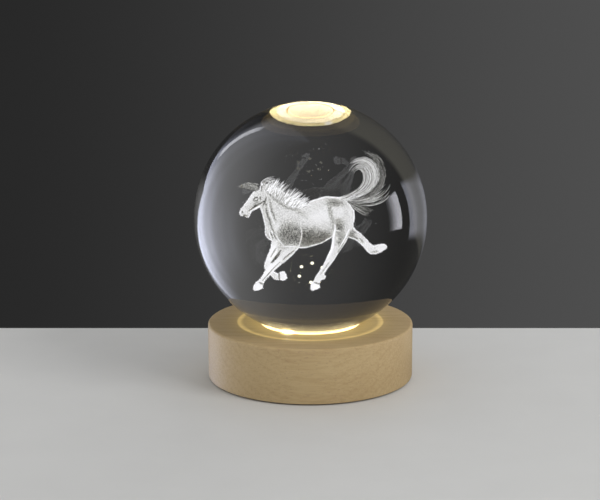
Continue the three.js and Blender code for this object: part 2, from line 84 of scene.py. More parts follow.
ball_low, ball_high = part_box("crystal_ball")
BALL_MIDDLE = (ball_low + ball_high) / 2
BALL_RADIUS = (ball_high.z - ball_low.z) / 2
towards_camera = Vector((0, -math.cos(CAMERA_ELEVATION), math.sin(CAMERA_ELEVATION)))
bpy.ops.object.camera_add(
    location=BALL_MIDDLE + towards_camera * CAMERA_DISTANCE,
    rotation=(-towards_camera).to_track_quat("-Z", "Y").to_euler(),
)
camera = bpy.context.object
camera.data.sensor_width = SENSOR_WIDTH_MM
camera.data.lens = SENSOR_WIDTH_MM * PX_PER_MM * CAMERA_DISTANCE / MM / PICTURE_WIDTH_PX
camera.data.shift_x = (PICTURE_WIDTH_PX / 2 - BALL_MIDDLE_PX[0]) / PICTURE_WIDTH_PX
camera.data.shift_y = (BALL_MIDDLE_PX[1] - PICTURE_HEIGHT_PX / 2) / PICTURE_WIDTH_PX
bpy.context.scene.camera = camera
print("Lens:", round(camera.data.lens, 1), "mm")

# %% [markdown]
# ## Shader sums
# A finish is a tree of nodes. `Value` stands for one output of a node, so that a sum in Python adds the Math nodes,
# and `Recipe` owns the tree and adds every other kind of node.

# %% Shader sums
class Value:
    """An output of a node. A sum on it adds Math nodes to the same tree."""

    def __init__(self, recipe, output):
        self.recipe, self.output = recipe, output

    def math(self, operation, *others):
        return self.recipe.math(operation, self, *others)

    def __add__(self, other):
        return self.math("ADD", other)

    def __mul__(self, other):
        return self.math("MULTIPLY", other)

    def __sub__(self, other):
        return self.math("SUBTRACT", other)

    def __rsub__(self, other):
        return self.recipe.math("SUBTRACT", other, self)

    def __pow__(self, other):
        return self.math("POWER", other)

    __radd__ = __add__


class Recipe:
    """The node tree of a material or of the world."""

    def __init__(self, owner):
        owner.use_nodes = True
        self.tree = owner.node_tree
        self.tree.nodes.clear()

    def add(self, kind, values=None, output=0, **settings):
        """Adds a node and gives one of its outputs. Each of its values is a constant or another node's output."""
        node = self.tree.nodes.new(kind)
        for key, setting in settings.items():
            setattr(node, key, setting)
        for key, value in (values or {}).items():
            if isinstance(value, Value):
                self.tree.links.new(value.output, node.inputs[key])
            else:
                node.inputs[key].default_value = value
        return Value(self, node.outputs[output]) if node.outputs else None

    def math(self, operation, *terms):
        return self.add("ShaderNodeMath", dict(enumerate(terms)), operation=operation)

    def vector(self, operation, *terms, output=0):
        return self.add("ShaderNodeVectorMath", dict(enumerate(terms)), output, operation=operation)

    def scaled(self, vector, factor):
        return self.add("ShaderNodeVectorMath", {0: vector, "Scale": factor}, operation="SCALE")

    def coordinates(self, stretch=(1, 1, 1), centre=(0, 0, 0)):
        """Object coordinates in millimetres from a centre, stretched."""
        moved = self.vector("SUBTRACT", self.add("ShaderNodeTexCoord", output="Object"), centre)
        return self.add("ShaderNodeMapping", {"Vector": moved, "Scale": tuple(value / MM for value in stretch)})

    def reach(self, stretch=(1, 1, 0), centre=(0, 0, 0)):
        """The distance in millimetres from a centre, by default sideways only."""
        return self.vector("LENGTH", self.coordinates(stretch, centre), output="Value")

    def noise(self, scale, detail=3, roughness=0.5, stretch=(1, 1, 1), centre=(0, 0, 0)):
        place = self.coordinates(stretch, centre)
        values = {"Vector": place, "Scale": scale, "Detail": detail, "Roughness": roughness}
        return self.add("ShaderNodeTexNoise", values)

    def between(self, value, low, high, start=0, end=1):
        """A smooth step from start at low to end at high."""
        values = {"Value": value, "From Min": low, "From Max": high, "To Min": start, "To Max": end}
        return self.add("ShaderNodeMapRange", values, interpolation_type="SMOOTHSTEP")

    def blend(self, factor, first, second, kind="MIX"):
        """A mix of two colours."""
        values = {0: factor, 6: first, 7: second}
        return self.add("ShaderNodeMix", values, 2, data_type="RGBA", blend_type=kind)

    def ramp(self, value, levels):
        """Grey levels, each at its position."""
        ramp = self.add("ShaderNodeValToRGB", {0: value})
        elements = ramp.output.node.color_ramp.elements
        for place, (position, level) in enumerate(levels):
            element = elements[place] if place < 2 else elements.new(position)
            element.position, element.color = position, grey(level)
        return ramp

    def axis(self, vector, name):
        return self.add("ShaderNodeSeparateXYZ", {0: vector}, name)

    def bump(self, height, depth_mm, strength):
        values = {"Height": height, "Distance": depth_mm * MM, "Strength": strength}
        return self.add("ShaderNodeBump", values)

    def surface(self, **values):
        """The Principled shader, joined to the material's output."""
        named = {key.replace("_", " "): value for key, value in values.items()}
        self.add("ShaderNodeOutputMaterial", {"Surface": self.add("ShaderNodeBsdfPrincipled", named)})


def finish(name):
    """A new material and its recipe."""
    material = bpy.data.materials.new(name)
    return material, Recipe(material)


def wear(piece, material):
    """Puts one material on a piece or on a CAD node."""
    piece.data.materials.clear()
    piece.data.materials.append(material)


def grey(level):
    return (level, level, level, 1)


print("Shader sums ready")

# %% [markdown]
# ## Backdrop and light
# The photograph has a dark wall, which makes the white engraving read, so the camera sees a plain dark grey, a little
# lighter on the right. Diffuse rays get an even soft white light. Polished glass shows what stands round it: mirrored
# rays meet a tall soft box and a strip at the left, a weaker box at the right and a small window. Rays through the
# glass meet a dark wall with painted shade at the ball's left rim, a painted lighter band at its right rim, and high
# up a painted warm glow of the lit seat. Three soft lamps light the rest: the key at the right front, a weak fill at
# the left, and one behind.

# %% Backdrop
LEFT_BOX, LEFT_STRIP = (3.1, 3.25, 4.0, 1), (2.6, 2.65, 2.9, 1)
RIGHT_BOX, SMALL_WINDOW = (1.68, 1.72, 1.98, 1), (6.2, 6.2, 6.7, 1)
LEFT_RIM_SHADE, RIGHT_RIM_LIGHT, SEAT_GLOW = grey(0.006), (0.066, 0.064, 0.056, 1), (0.62, 0.51, 0.27, 1)
# Both boxes fade along the bearing: (share of the way, level).
LEFT_STOPS = (
    (0, 0), (0.12, 0), (0.22, 0.14), (0.27, 0.8), (0.342, 0.95), (0.39, 0.98), (0.472, 0.845), (0.542, 0.77),
    (0.59, 0.64), (0.635, 0.53), (0.69, 0.36), (0.815, 0.25), (0.927, 0.076), (1, 0),
)
RIGHT_STOPS = (
    (0, 0), (0.01, 0), (0.04, 1), (0.15, 0.9), (0.25, 0.6), (0.32, 0.38), (0.44, 0.25), (0.55, 0.22), (0.77, 0.24),
    (1, 0.1),
)
LEFT_START, LEFT_SPAN, RIGHT_START = -3.14, 2, 1.95
RIPPLES = 21
# Below, across, along and up are parts of a ray's direction, from -1 to 1, and bearings are in radians.

bpy.context.scene.view_settings.view_transform = "Standard"
world = bpy.data.worlds.new("studio")
bpy.context.scene.world = world
sky = Recipe(world)
direction = sky.add("ShaderNodeTexCoord", output="Generated")
across, along, up = (sky.axis(direction, name) for name in "XYZ")
bearing = across.math("ARCTAN2", 0 - along)
above = up.math("MAXIMUM", 0)


def window(value, low, high, soft_low, soft_high):
    """1 between low and high, with its own soft edge at each end."""
    return sky.between(value, low - soft_low, low) * (1 - sky.between(value, high, high + soft_high))


left_box = sky.ramp((bearing - LEFT_START) * (1 / LEFT_SPAN), LEFT_STOPS)
left_box *= sky.between(up, -0.75, -0.3) * sky.between(up, -0.2, 0.45, 1, 0.2)
left_box *= 1 + (bearing * RIPPLES).math("SINE") * 0.08
left_box *= sky.between(along + up * 0.27 - above * 1.15, 0.73, 0.785, 1, 0.008)
left_box *= sky.between(up + along * 0.6, 0.5, 0.8, 1, 0.6)
left_strip = window(bearing, -2.57, -2.5, 0.03, 0.03) * window(up, 0.26, 0.62, 0.08, 0.08)
right_box = sky.ramp(bearing - RIGHT_START, RIGHT_STOPS) * sky.between(up, -0.3, -0.21)
right_box *= sky.between(up + along * 0.21 - across * 0.38, -0.04, 0.04, 1, 0)
small_window = sky.between(bearing, 1.41, 1.69) * sky.between(bearing, 1.74, 1.76, 1, 0)
small_window *= window(up, -0.14, 0.25, 0.02, 0.03)
mirrored = grey(0.02)
for lit, colour in (
    (left_box, LEFT_BOX), (left_strip, LEFT_STRIP), (right_box, RIGHT_BOX), (small_window, SMALL_WINDOW),
):
    mirrored = sky.blend(lit, mirrored, colour)

# Painted shade at the ball's left rim, a painted lighter band at its right rim and a painted warm glow of the lit
# seat, in what rays through the glass meet.
left_rim_shade = sky.between(along, 0.36, 0.5, 1, 0) * sky.between(across, 0, 0.2) * sky.between(up, -0.45, -0.25, 1, 0)
right_rim_light = sky.between(along + above * 1.1, 0.6, 0.67, 1, 0) * sky.between(across, -0.2, -0.1, 1, 0)
seat_glow = sky.between(up, 0.66, 0.88) * window(across, -0.34, 0.34, 0.08, 0.08)
through = sky.between(across, -0.7, 0.1, 0.014, 0.047) + sky.between(across, 0.02, 0.8, 0, 0.1)
for part, colour in ((left_rim_shade, LEFT_RIM_SHADE), (right_rim_light, RIGHT_RIM_LIGHT), (seat_glow, SEAT_GLOW)):
    through = sky.blend(part, through, colour)

wall = sky.blend(sky.between(across, -0.2, 0.25), grey(0.021), grey(0.082))
colour = grey(0.62)
for name, seen in (("Camera", wall), ("Glossy", mirrored), ("Transmission", through)):
    colour = sky.blend(sky.add("ShaderNodeLightPath", output=f"Is {name} Ray"), colour, seen)
sky.add("ShaderNodeOutputWorld", {"Surface": sky.add("ShaderNodeBackground", {"Color": colour})})
print("Backdrop ready")

# %% Floor
FLOOR_BACK_EDGE = 60 * MM
FLOOR_SIZE = 1200 * MM
bpy.ops.object.select_all(action="DESELECT")
bpy.ops.mesh.primitive_plane_add(size=FLOOR_SIZE, location=(0, FLOOR_BACK_EDGE - FLOOR_SIZE / 2, 0))
floor = bpy.context.object
floor.name = "floor"
floor_paint, recipe = finish("pale_floor")
pale = recipe.blend(recipe.noise(0.05), (0.6, 0.6, 0.59, 1), (0.64, 0.64, 0.63, 1))
recipe.surface(Base_Color=pale, Roughness=0.6)
floor.visible_glossy = floor.visible_transmission = False
wear(floor, floor_paint)
print("Floor:", FLOOR_SIZE / MM, "mm")

# %% Lamps
def soft_lamp(name, place, size, watts, tint=(1, 1, 1)):
    """A square soft lamp turned to the ball. Polished surfaces show the backdrop's boxes and not the lamp itself."""
    place = Vector(place)
    turn = (BALL_MIDDLE - place).to_track_quat("-Z", "Y").to_euler()
    bpy.ops.object.light_add(type="AREA", location=place, rotation=turn)
    lamp = bpy.context.object
    lamp.name = name
    lamp.data.size, lamp.data.energy, lamp.data.color = size, watts, tint
    lamp.visible_camera = lamp.visible_glossy = lamp.visible_transmission = False


soft_lamp("key", (0.75, -0.5, 0.7), 0.5, 4.9)
soft_lamp("fill", (-0.8, -0.6, 0.35), 0.6, 0.75, (1, 0.98, 0.95))
soft_lamp("back", (0.3, 0.9, 0.45), 0.5, 1.2)
bpy.context.scene.cycles.max_bounces = 24
bpy.context.scene.cycles.transmission_bounces = 24
bpy.context.scene.cycles.glossy_bounces = 12
bpy.context.scene.cycles.sample_clamp_indirect = 20

# %% [markdown]
# ## Ways of working
# Everything is selected after an import, and a new primitive is selected all over. So each step first deselects, and
# then picks its faces or edges by their place, as a hand would.

# %% Ways of working
def take(*pieces):
    """Selects these pieces alone. The first of them is the active one."""
    bpy.ops.object.select_all(action="DESELECT")
    for piece in pieces:
        piece.select_set(True)
    if pieces:
        bpy.context.view_layer.objects.active = pieces[0]


def work_on(piece, picked="DESELECT"):
    take(piece)
    bpy.ops.object.mode_set(mode="EDIT")
    bpy.ops.mesh.select_all(action=picked)


def work_done():
    """Turns every face outwards and leaves Edit Mode."""
    bpy.ops.mesh.select_all(action="SELECT")
    bpy.ops.mesh.normals_make_consistent(inside=False)
    bpy.ops.object.mode_set(mode="OBJECT")


def pick(piece, kind, test):
    """Selects the vertices, edges or faces whose middle passes a test."""
    shape = bmesh.from_edit_mesh(piece.data)
    bpy.ops.mesh.select_all(action="DESELECT")
    bpy.ops.mesh.select_mode(type={"verts": "VERT", "edges": "EDGE", "faces": "FACE"}[kind])
    for part in getattr(shape, kind):
        part.select = test(part)
    shape.select_flush_mode()
    bmesh.update_edit_mesh(piece.data)


def modify(piece, kind, **settings):
    """Adds a modifier and applies it."""
    take(piece)
    bpy.ops.object.modifier_add(type=kind)
    modifier = piece.modifiers[-1]
    for key, setting in settings.items():
        setattr(modifier, key, setting)
    bpy.ops.object.modifier_apply(modifier=modifier.name)


def smooth(piece, degrees=35):
    take(piece)
    bpy.ops.object.shade_smooth_by_angle(angle=math.radians(degrees))


def hand_over(piece, name, body, slot, material, *nodes):
    """Applies a finished piece's place, names it, and gives it its body, its finish and what it stands for."""
    take(piece)
    bpy.ops.object.transform_apply(location=True, rotation=True, scale=True)
    piece.name = piece.data.name = name
    wear(piece, material)
    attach(piece, body)
    if nodes:
        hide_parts(*nodes)
    print(name, len(piece.data.polygons), "faces")


print("Ways of working ready")

# %% [markdown]
# ## Turned pieces
# The ring, pad, inlet and button are round about an axis. Each starts as a circle that is extruded and scaled from
# one point of its profile to the next, which is how a lathe's profile grows, and its sharp edges are then bevelled.

# %% Turned pieces
WELD = MM / 1000


def turned(profile, sides=96, closed=False):
    """A profile of (radius, height) in millimetres turned about the upright axis."""
    (radius, height), *others = profile
    take()
    bpy.ops.mesh.primitive_circle_add(vertices=sides, radius=radius * MM, location=(0, 0, height * MM))
    piece = bpy.context.object
    bpy.ops.object.transform_apply(location=True)
    work_on(piece, "SELECT")
    if not closed:
        bpy.ops.mesh.edge_face_add()
    for next_radius, next_height in others:
        rise = (0, 0, (next_height - height) * MM)
        bpy.ops.mesh.extrude_region_move(TRANSFORM_OT_translate={"value": rise})
        ratio = next_radius / radius
        bpy.ops.transform.resize(value=(ratio, ratio, 1), center_override=(0, 0, next_height * MM))
        radius, height = next_radius, next_height
    if closed:
        bpy.ops.mesh.select_all(action="SELECT")
        bpy.ops.mesh.remove_doubles(threshold=WELD)
    work_done()
    return piece


def soften(piece, width, segments=3):
    """Rounds a piece's sharp edges."""
    modify(piece, "BEVEL", width=width * MM, segments=segments, limit_method="ANGLE", angle_limit=math.radians(40))
    smooth(piece)


print("Turning ready")

# %% [markdown]
# ## The glass ball
# Optical glass is polished all over and clear, so its look is all in the form and the index of refraction. A cube
# that is subdivided and pulled to a sphere has no poles, where the faces of a turned ball would pinch the picture
# that the glass shows.

# %% Glass ball
BALL_CUTS = 95
GLASS_INDEX = 1.5

take()
bpy.ops.mesh.primitive_cube_add(size=BALL_RADIUS * 2, location=BALL_MIDDLE)
ball = bpy.context.object
bpy.ops.object.transform_apply(location=True)
work_on(ball, "SELECT")
bpy.ops.mesh.subdivide(number_cuts=BALL_CUTS)
bpy.ops.transform.tosphere(value=1, center_override=BALL_MIDDLE)
reach = max((vert.co - BALL_MIDDLE).length for vert in bmesh.from_edit_mesh(ball.data).verts)
bpy.ops.transform.resize(value=(BALL_RADIUS / reach,) * 3, center_override=BALL_MIDDLE)
bpy.ops.object.mode_set(mode="OBJECT")
take(ball)
bpy.ops.object.shade_smooth()
glass, recipe = finish("polished_glass")
recipe.surface(Base_Color=grey(1), Roughness=0, IOR=GLASS_INDEX, Transmission_Weight=1)
hand_over(ball, "glass_ball", "crystal", "crystal", glass, "crystal_ball")
print("Ball radius:", round(BALL_RADIUS / MM, 2), "mm")

# %% [markdown]
# ## The wooden base
# The base is one disc of light beech, turned on a lathe. A cylinder gets its steps by extruding and scaling the top
# and bottom faces, as a turner would cut them: the light hole and the ring's rebate above, and the cover's step and
# the wiring pocket below. The two meet where the light hole is opened. The rims are rounded, and the back is drilled.

# %% Turn the base
wood_low, wood_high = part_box("wood_base")
ring_low, ring_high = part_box("seat_ring")
cover_high, board_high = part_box("bottom_cover")[1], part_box("led_board")[1]
BASE_RADIUS = wood_high.x
BASE_SIDES = 192
FIT_GAP = 0.3 * MM
LIGHT_HOLE_RADIUS = 15.4 * MM
POCKET_RADIUS = 27 * MM
rebate_radius = ring_high.x + FIT_GAP
cover_step_radius = cover_high.x + FIT_GAP
wood_height, wood_middle = wood_high.z - wood_low.z, (wood_low.z + wood_high.z) / 2

take()
bpy.ops.mesh.primitive_cylinder_add(
    vertices=BASE_SIDES, radius=BASE_RADIUS, depth=wood_height, location=(0, 0, wood_middle),
)
base = bpy.context.object
bpy.ops.object.transform_apply(location=True)
work_on(base)


def cut_steps(radius, height, steps):
    """Cuts the picked face in steps, each to a smaller radius and then to a new height."""
    for next_radius, next_height in steps:
        bpy.ops.mesh.extrude_region_move(TRANSFORM_OT_translate={"value": (0, 0, 0)})
        ratio = next_radius / radius
        bpy.ops.transform.resize(value=(ratio, ratio, 1), center_override=(0, 0, height))
        if next_height != height:
            bpy.ops.mesh.extrude_region_move(TRANSFORM_OT_translate={"value": (0, 0, next_height - height)})
        radius, height = next_radius, next_height
    bpy.ops.mesh.delete(type="FACE")


pick(base, "faces", lambda face: face.normal.z > 0.9)
cut_steps(BASE_RADIUS, wood_high.z, [(rebate_radius, ring_low.z - FIT_GAP), (LIGHT_HOLE_RADIUS, board_high.z)])
pick(base, "faces", lambda face: face.normal.z < -0.9 and face.calc_center_median().z < wood_low.z + MM / 10)
cut_steps(
    BASE_RADIUS, wood_low.z,
    [(cover_step_radius, cover_high.z), (POCKET_RADIUS, board_high.z), (LIGHT_HOLE_RADIUS, board_high.z)],
)
bpy.ops.mesh.select_all(action="SELECT")
bpy.ops.mesh.remove_doubles(threshold=WELD)
bpy.ops.mesh.normals_make_consistent(inside=False)


def on_ring(radius, height):
    """A test for edges that run round at a radius and height."""
    def test(edge):
        return all(
            abs(vert.co.xy.length - radius) < MM / 100 and abs(vert.co.z - height) < MM / 100 for vert in edge.verts
        )
    return test


for radius, height, width, segments in (
    (BASE_RADIUS, wood_high.z, 0.8, 6), (BASE_RADIUS, wood_low.z, 0.6, 2),
    (rebate_radius, wood_high.z, 0.2, 2), (cover_step_radius, wood_low.z, 0.2, 1),
):
    pick(base, "edges", on_ring(radius, height))
    bpy.ops.mesh.bevel(offset=width * MM, segments=segments, affect="EDGES")
bpy.ops.object.mode_set(mode="OBJECT")
print("Base turned:", len(base.data.polygons), "faces")

# %% Drill the back
# Places along the inlet's and the button's axes, in millimetres from the middle of the base.
INLET_TURN, BUTTON_TURN = math.radians(105), math.radians(75)
SPOT_FACE, NUT_SEAT, POCKET_WALL, OUTSIDE = 34.2, 29.2, 25, 38
inlet_low, inlet_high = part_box("inlet_shell")
REAR_HEIGHT = (inlet_low.z + inlet_high.z) / 2


def to_the_rear(piece, turn):
    """Lays a piece made about the upright axis on its radial axis at the back."""
    take(piece)
    bpy.ops.object.transform_apply(location=True)
    lie = Matrix.Rotation(turn, 4, "Z") @ Matrix.Rotation(math.pi / 2, 4, "Y")
    piece.matrix_world = Matrix.Translation((0, 0, REAR_HEIGHT)) @ lie
    bpy.ops.object.transform_apply(location=True, rotation=True)
    return piece


for radius, inner, outer, turn in (
    (3.05, POCKET_WALL, OUTSIDE, INLET_TURN), (4.5, SPOT_FACE, OUTSIDE, INLET_TURN),
    (4.5, POCKET_WALL, NUT_SEAT, INLET_TURN), (4.3, POCKET_WALL, OUTSIDE, BUTTON_TURN),
    (5.1, SPOT_FACE, OUTSIDE, BUTTON_TURN),
):
    drill = to_the_rear(turned([(radius, inner), (radius, outer)], sides=48), turn)
    modify(base, "BOOLEAN", operation="DIFFERENCE", object=drill, solver="EXACT")
    bpy.data.objects.remove(drill)
smooth(base, 30)
print("Base drilled:", len(base.data.polygons), "faces")

# %% [markdown]
# ### Beech
# Beech is pale and close grained: growth rings round a pith below and behind the lamp, long soft streaks along the
# plank, and short darker flecks and pores. Noises stretched along X give the streaks, and because they fill space,
# the grain runs over the rim. The glow of the lit hole on the wood round it is painted into the emission: a warm
# pool, a faint brighter ring where the ball throws light, a bright patch at the left of the seat, and a bright wall
# in the hole itself.

# %% Beech
BEECH_PALE = (0.55, 0.41, 0.215, 1)
BEECH_DEEP = (0.45, 0.31, 0.15, 1)
BEECH_FLECK = (0.36, 0.235, 0.14, 1)
WOOD_GLOW = (1.0, 0.82, 0.32)
HOLE_GLOW = (15.5, 14.6, 11, 1)
PITH = (0, 46 * MM, -62 * MM)
GROWTH_MM = 2.2
SEAT_STAR = (-7.7 * MM, -15.2 * MM, ring_high.z)
# Where the glow comes up or fades, in millimetres: heights, then distances from the axis or from the bright patch.
TOP_RISE, HOLE_RISE = (18.5, 19.3), (14.6, 16.2)
POOL_FADE, HOLE_FADE, STAR_FADE = (16, 34), (15.6, 17.6), (0.8, 4.5)
THROW_RISE, THROW_FADE = (22.8, 24.9), (25, 25.7)

beech, recipe = finish("turned_beech")
warp = recipe.noise(1, stretch=(0.02, 0.12, 0.12))
growth = (recipe.reach((0, 1, 1), PITH) * (1 / GROWTH_MM) + warp * 1.8).math("FRACT")
late = recipe.between(growth, 0.45, 0.93) * recipe.between(growth, 0.95, 1.0, 1, 0)
fibre = recipe.noise(1, 5, 0.65, (0.06, 1.6, 1.6))
broad = recipe.noise(1, 2, stretch=(0.012, 0.06, 0.06))
fleck = recipe.between(recipe.noise(1, 1, stretch=(0.45, 5, 2.4)), 0.62, 0.7)
pores = recipe.between(recipe.noise(1, 1, stretch=(0.8, 9, 9)), 0.6, 0.72)
depth = late * 0.15 + recipe.between(fibre, 0.3, 0.7) * 0.46 + recipe.between(broad, 0.3, 0.7) * 0.3
tone = recipe.blend(recipe.between(depth, 0.1, 1.0), BEECH_PALE, BEECH_DEEP)
tone = recipe.blend(fleck * 0.4 + pores * 0.22, tone, BEECH_FLECK)
height, away = recipe.axis(recipe.coordinates(), "Z"), recipe.reach()
# Painted light: the LED glow on the wood, as a pool, a ring, a bright patch and the lit hole wall, goes into the
# emission.
pool = recipe.between(away, *POOL_FADE, 1, 0) ** 1.5
throw = recipe.between(away, *THROW_RISE) * recipe.between(away, *THROW_FADE, 1, 0)
star = recipe.between(recipe.reach(centre=SEAT_STAR), *STAR_FADE, 1, 0) ** 3
lit = recipe.between(height, *TOP_RISE) * (pool * 0.36 + throw * 0.36 + star * 3)
hole = recipe.between(away, *HOLE_FADE, 1, 0) * recipe.between(height, *HOLE_RISE)
painted_glow = recipe.vector("ADD", recipe.blend(hole, grey(0), HOLE_GLOW), recipe.scaled(WOOD_GLOW, lit))
recipe.surface(
    Base_Color=tone,
    Roughness=recipe.between(fibre, 0.3, 0.7, 0.44, 0.6),
    Emission_Color=recipe.blend(0.6, painted_glow, tone, "MULTIPLY"),
    Emission_Strength=1,
    Normal=recipe.bump(fibre * 0.5 - pores * 0.6 - fleck * 0.3, 0.06, 0.6),
)
hand_over(base, "turned_base", "base", "beech", beech, "wood_base")

# %% [markdown]
# ## Ring, pad, inlet and button
# The clear ring in the seat keeps glass off wood, and the soft pad keeps wood off the table. The ring's lip stands
# just proud of the wood. The LED light on the ring is painted into its emission: its front part is lit, brightest on
# its inner edge, which is the bright line that shows under the ball, its inner wall glows, and a spark is painted at
# the left front. At the back sit a plated power inlet and a black push button in its bezel.

# %% Seat ring
LIP_PROUD = 0.2
INNER_WALL_GLOW, LIP_INNER_GLOW, LIP_OUTER_GLOW, SPARK = (12, 10.3, 6.6, 1), (7.5, 6.1, 2.9, 1), (2.0, 1.5, 0.55, 1), (9, 8.6, 8, 1)
wood_top, ring_bottom = wood_high.z / MM, ring_low.z / MM
hole_radius, ring_radius = LIGHT_HOLE_RADIUS / MM, ring_high.x / MM
lip_height = wood_top + LIP_PROUD
clear_of_ball = BALL_RADIUS + FIT_GAP
lip_radius = math.sqrt(clear_of_ball ** 2 - (BALL_MIDDLE.z - wood_high.z) ** 2) / MM
meets = (BALL_MIDDLE.z - math.sqrt(clear_of_ball ** 2 - LIGHT_HOLE_RADIUS ** 2)) / MM
ring = turned([
    (hole_radius, ring_bottom), (ring_radius, ring_bottom), (ring_radius, lip_height),
    (ring_radius - 0.25, lip_height + 0.1), (lip_radius, wood_top), (hole_radius, meets), (hole_radius, ring_bottom),
], sides=160, closed=True)
soften(ring, 0.06, 2)
silicone, recipe = finish("clear_silicone")
cloud = recipe.noise(0.4, 4)
away = recipe.reach()
# Painted light: the LED glow on the ring's inner wall, lip and top, and a painted spark at the left front, go into
# the emission.
inner_wall = recipe.between(away, hole_radius + 0.02, hole_radius + 0.3, 1, 0)
lip = recipe.blend(recipe.between(away, lip_radius - 0.06, lip_radius + 0.02), LIP_INNER_GLOW, LIP_OUTER_GLOW)
lit_top = recipe.blend(cloud, (0.6, 0.45, 0.22, 1), (0.7, 0.54, 0.28, 1))
lit_top = recipe.blend(recipe.between(recipe.axis(recipe.coordinates(), "Y"), -7.5, -6, 1, 0), lit_top, lip)
lit_top = recipe.blend(recipe.between(recipe.reach(centre=SEAT_STAR), 0.5, 2.4, 1, 0), lit_top, SPARK)
recipe.surface(
    Base_Color=recipe.blend(cloud, (0.86, 0.84, 0.78, 1), (0.94, 0.93, 0.88, 1)),
    Roughness=recipe.between(cloud, 0.3, 0.7, 0.28, 0.42),
    Emission_Color=recipe.blend(inner_wall, lit_top, INNER_WALL_GLOW),
    Emission_Strength=1,
    Normal=recipe.bump(cloud, 0.05, 0.4),
)
hand_over(ring, "clear_seat_ring", "seat", "clear_silicone", silicone, "seat_ring")

# %% Foot pad
pad_low, pad_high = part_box("foot_pad")
pad = turned([(pad_high.x / MM, pad_low.z / MM), (pad_high.x / MM, pad_high.z / MM)], sides=160)
soften(pad, 0.2, 2)
rubber, recipe = finish("foam_rubber")
cells = recipe.add("ShaderNodeTexVoronoi", {"Vector": recipe.coordinates(), "Scale": 2.2})
dust = recipe.noise(0.25, 4)
recipe.surface(
    Base_Color=recipe.blend(dust, (0.022, 0.022, 0.022, 1), (0.05, 0.049, 0.047, 1)),
    Roughness=0.82 + dust * 0.14,
    Normal=recipe.bump(cells, 0.12, 0.7),
)
hand_over(pad, "non_slip_pad", "base", "pad_rubber", rubber, "foot_pad")

# %% Power inlet
FLANGE_FACE = 35.2
inlet = to_the_rear(turned([
    (0.9, 24.7), (2.75, 24.7), (2.75, SPOT_FACE), (4.2, SPOT_FACE), (4.2, FLANGE_FACE), (1.9, FLANGE_FACE),
    (1.9, 26.1), (0.9, 26.1), (0.9, 24.7),
], sides=64, closed=True), INLET_TURN)
soften(inlet, 0.18)


def plated(name, bright, dull):
    """Satin metal plating with fine swirls left by polishing."""
    material, recipe = finish(name)
    swirls = recipe.noise(1.2, 4, stretch=(1, 1, 6))
    recipe.surface(
        Base_Color=recipe.blend(swirls, bright, dull),
        Metallic=0.75,
        Roughness=recipe.between(swirls, 0.25, 0.75, 0.4, 0.55),
        Normal=recipe.bump(swirls, 0.01, 0.4),
    )
    return material


nickel = plated("nickel_plate", (0.42, 0.41, 0.385, 1), (0.34, 0.33, 0.31, 1))
hand_over(inlet, "inlet_sleeve", "base", "nickel", nickel, "inlet_shell")

# %% Button and bezel
bezel = to_the_rear(turned([
    (1.5, 26.43), (4.0, 26.43), (4.0, SPOT_FACE), (4.8, SPOT_FACE), (4.8, FLANGE_FACE), (3.3, FLANGE_FACE),
    (3.3, 27.43), (1.5, 27.43), (1.5, 26.43),
], sides=64, closed=True), BUTTON_TURN)
soften(bezel, 0.2)
cap = to_the_rear(turned([
    (1.2, 24.93), (1.2, 33.3), (3.0, 33.3), (3.0, 36.7), (2.55, 36.7), (2.1, 36.45), (1.2, 36.4),
], sides=64), BUTTON_TURN)
soften(cap, 0.22)
button_black, recipe = finish("moulded_black")
grain = recipe.noise(6)
recipe.surface(
    Base_Color=recipe.blend(grain, (0.012, 0.012, 0.013, 1), (0.03, 0.03, 0.031, 1)),
    Roughness=recipe.between(grain, 0.3, 0.7, 0.3, 0.48),
    Normal=recipe.bump(grain, 0.03, 0.6),
)
hand_over(bezel, "button_guide", "base", "button_black", button_black, "button_bezel")
hand_over(cap, "push_button", "button", "button_black", button_black, "power_button")

# %% [markdown]
# ## The engraved horse
# The laser leaves a cloud of white micro-cracks in the glass, dense where the horse is light. The ball magnifies
# it about one and a half times. So the outline was read off the photograph in pixels, and `in_ball` finds the place
# in the glass that shows at a pixel. The body is modelled in millimetres from the ball's middle, and scaled later.

# %% Places in the ball
LEAN_SINE, LEAN_COSINE = math.sin(CAMERA_ELEVATION), math.cos(CAMERA_ELEVATION)
SEEN_STEPS = np.linspace(0, 0.98, 200)
BEND_STEPS = np.arcsin(SEEN_STEPS) - np.arcsin(SEEN_STEPS / GLASS_INDEX)
REAL_STEPS = BALL_RADIUS / MM * SEEN_STEPS / GLASS_INDEX / np.cos(BEND_STEPS)


def in_ball(px, py, side=0.0):
    """The place, in millimetres from the ball's middle, that shows at a pixel of the photograph."""
    right, up = px - BALL_MIDDLE_PX[0], BALL_MIDDLE_PX[1] - py
    reach = max(math.hypot(right, up), 1e-6)
    slope = math.tan(np.interp(reach / BALL_RADIUS_PX, SEEN_STEPS, BEND_STEPS))
    real = np.interp(reach / BALL_RADIUS_PX, SEEN_STEPS, REAL_STEPS) - slope * side / LEAN_COSINE
    scale = real / (1 - slope * up / reach * LEAN_SINE / LEAN_COSINE) / reach
    return Vector((right * scale, side, (up * scale - side * LEAN_SINE) / LEAN_COSINE))


def in_picture(places):
    """The pixels of the photograph where places in the glass show: the way back from in_ball."""
    right = places[:, 0]
    up = places[:, 2] * LEAN_COSINE + places[:, 1] * LEAN_SINE
    depth = places[:, 1] * LEAN_COSINE - places[:, 2] * LEAN_SINE
    real = np.maximum(np.hypot(right, up), 1e-6)
    seen = np.interp(real, REAL_STEPS, SEEN_STEPS)
    for _ in range(4):
        seen = np.interp(real + depth * np.tan(np.interp(seen, SEEN_STEPS, BEND_STEPS)), REAL_STEPS, SEEN_STEPS)
    grow = seen * BALL_RADIUS_PX / real
    return BALL_MIDDLE_PX[0] + right * grow, BALL_MIDDLE_PX[1] - up * grow


print("The muzzle lies at", [round(value, 2) for value in in_ball(242, 214)])

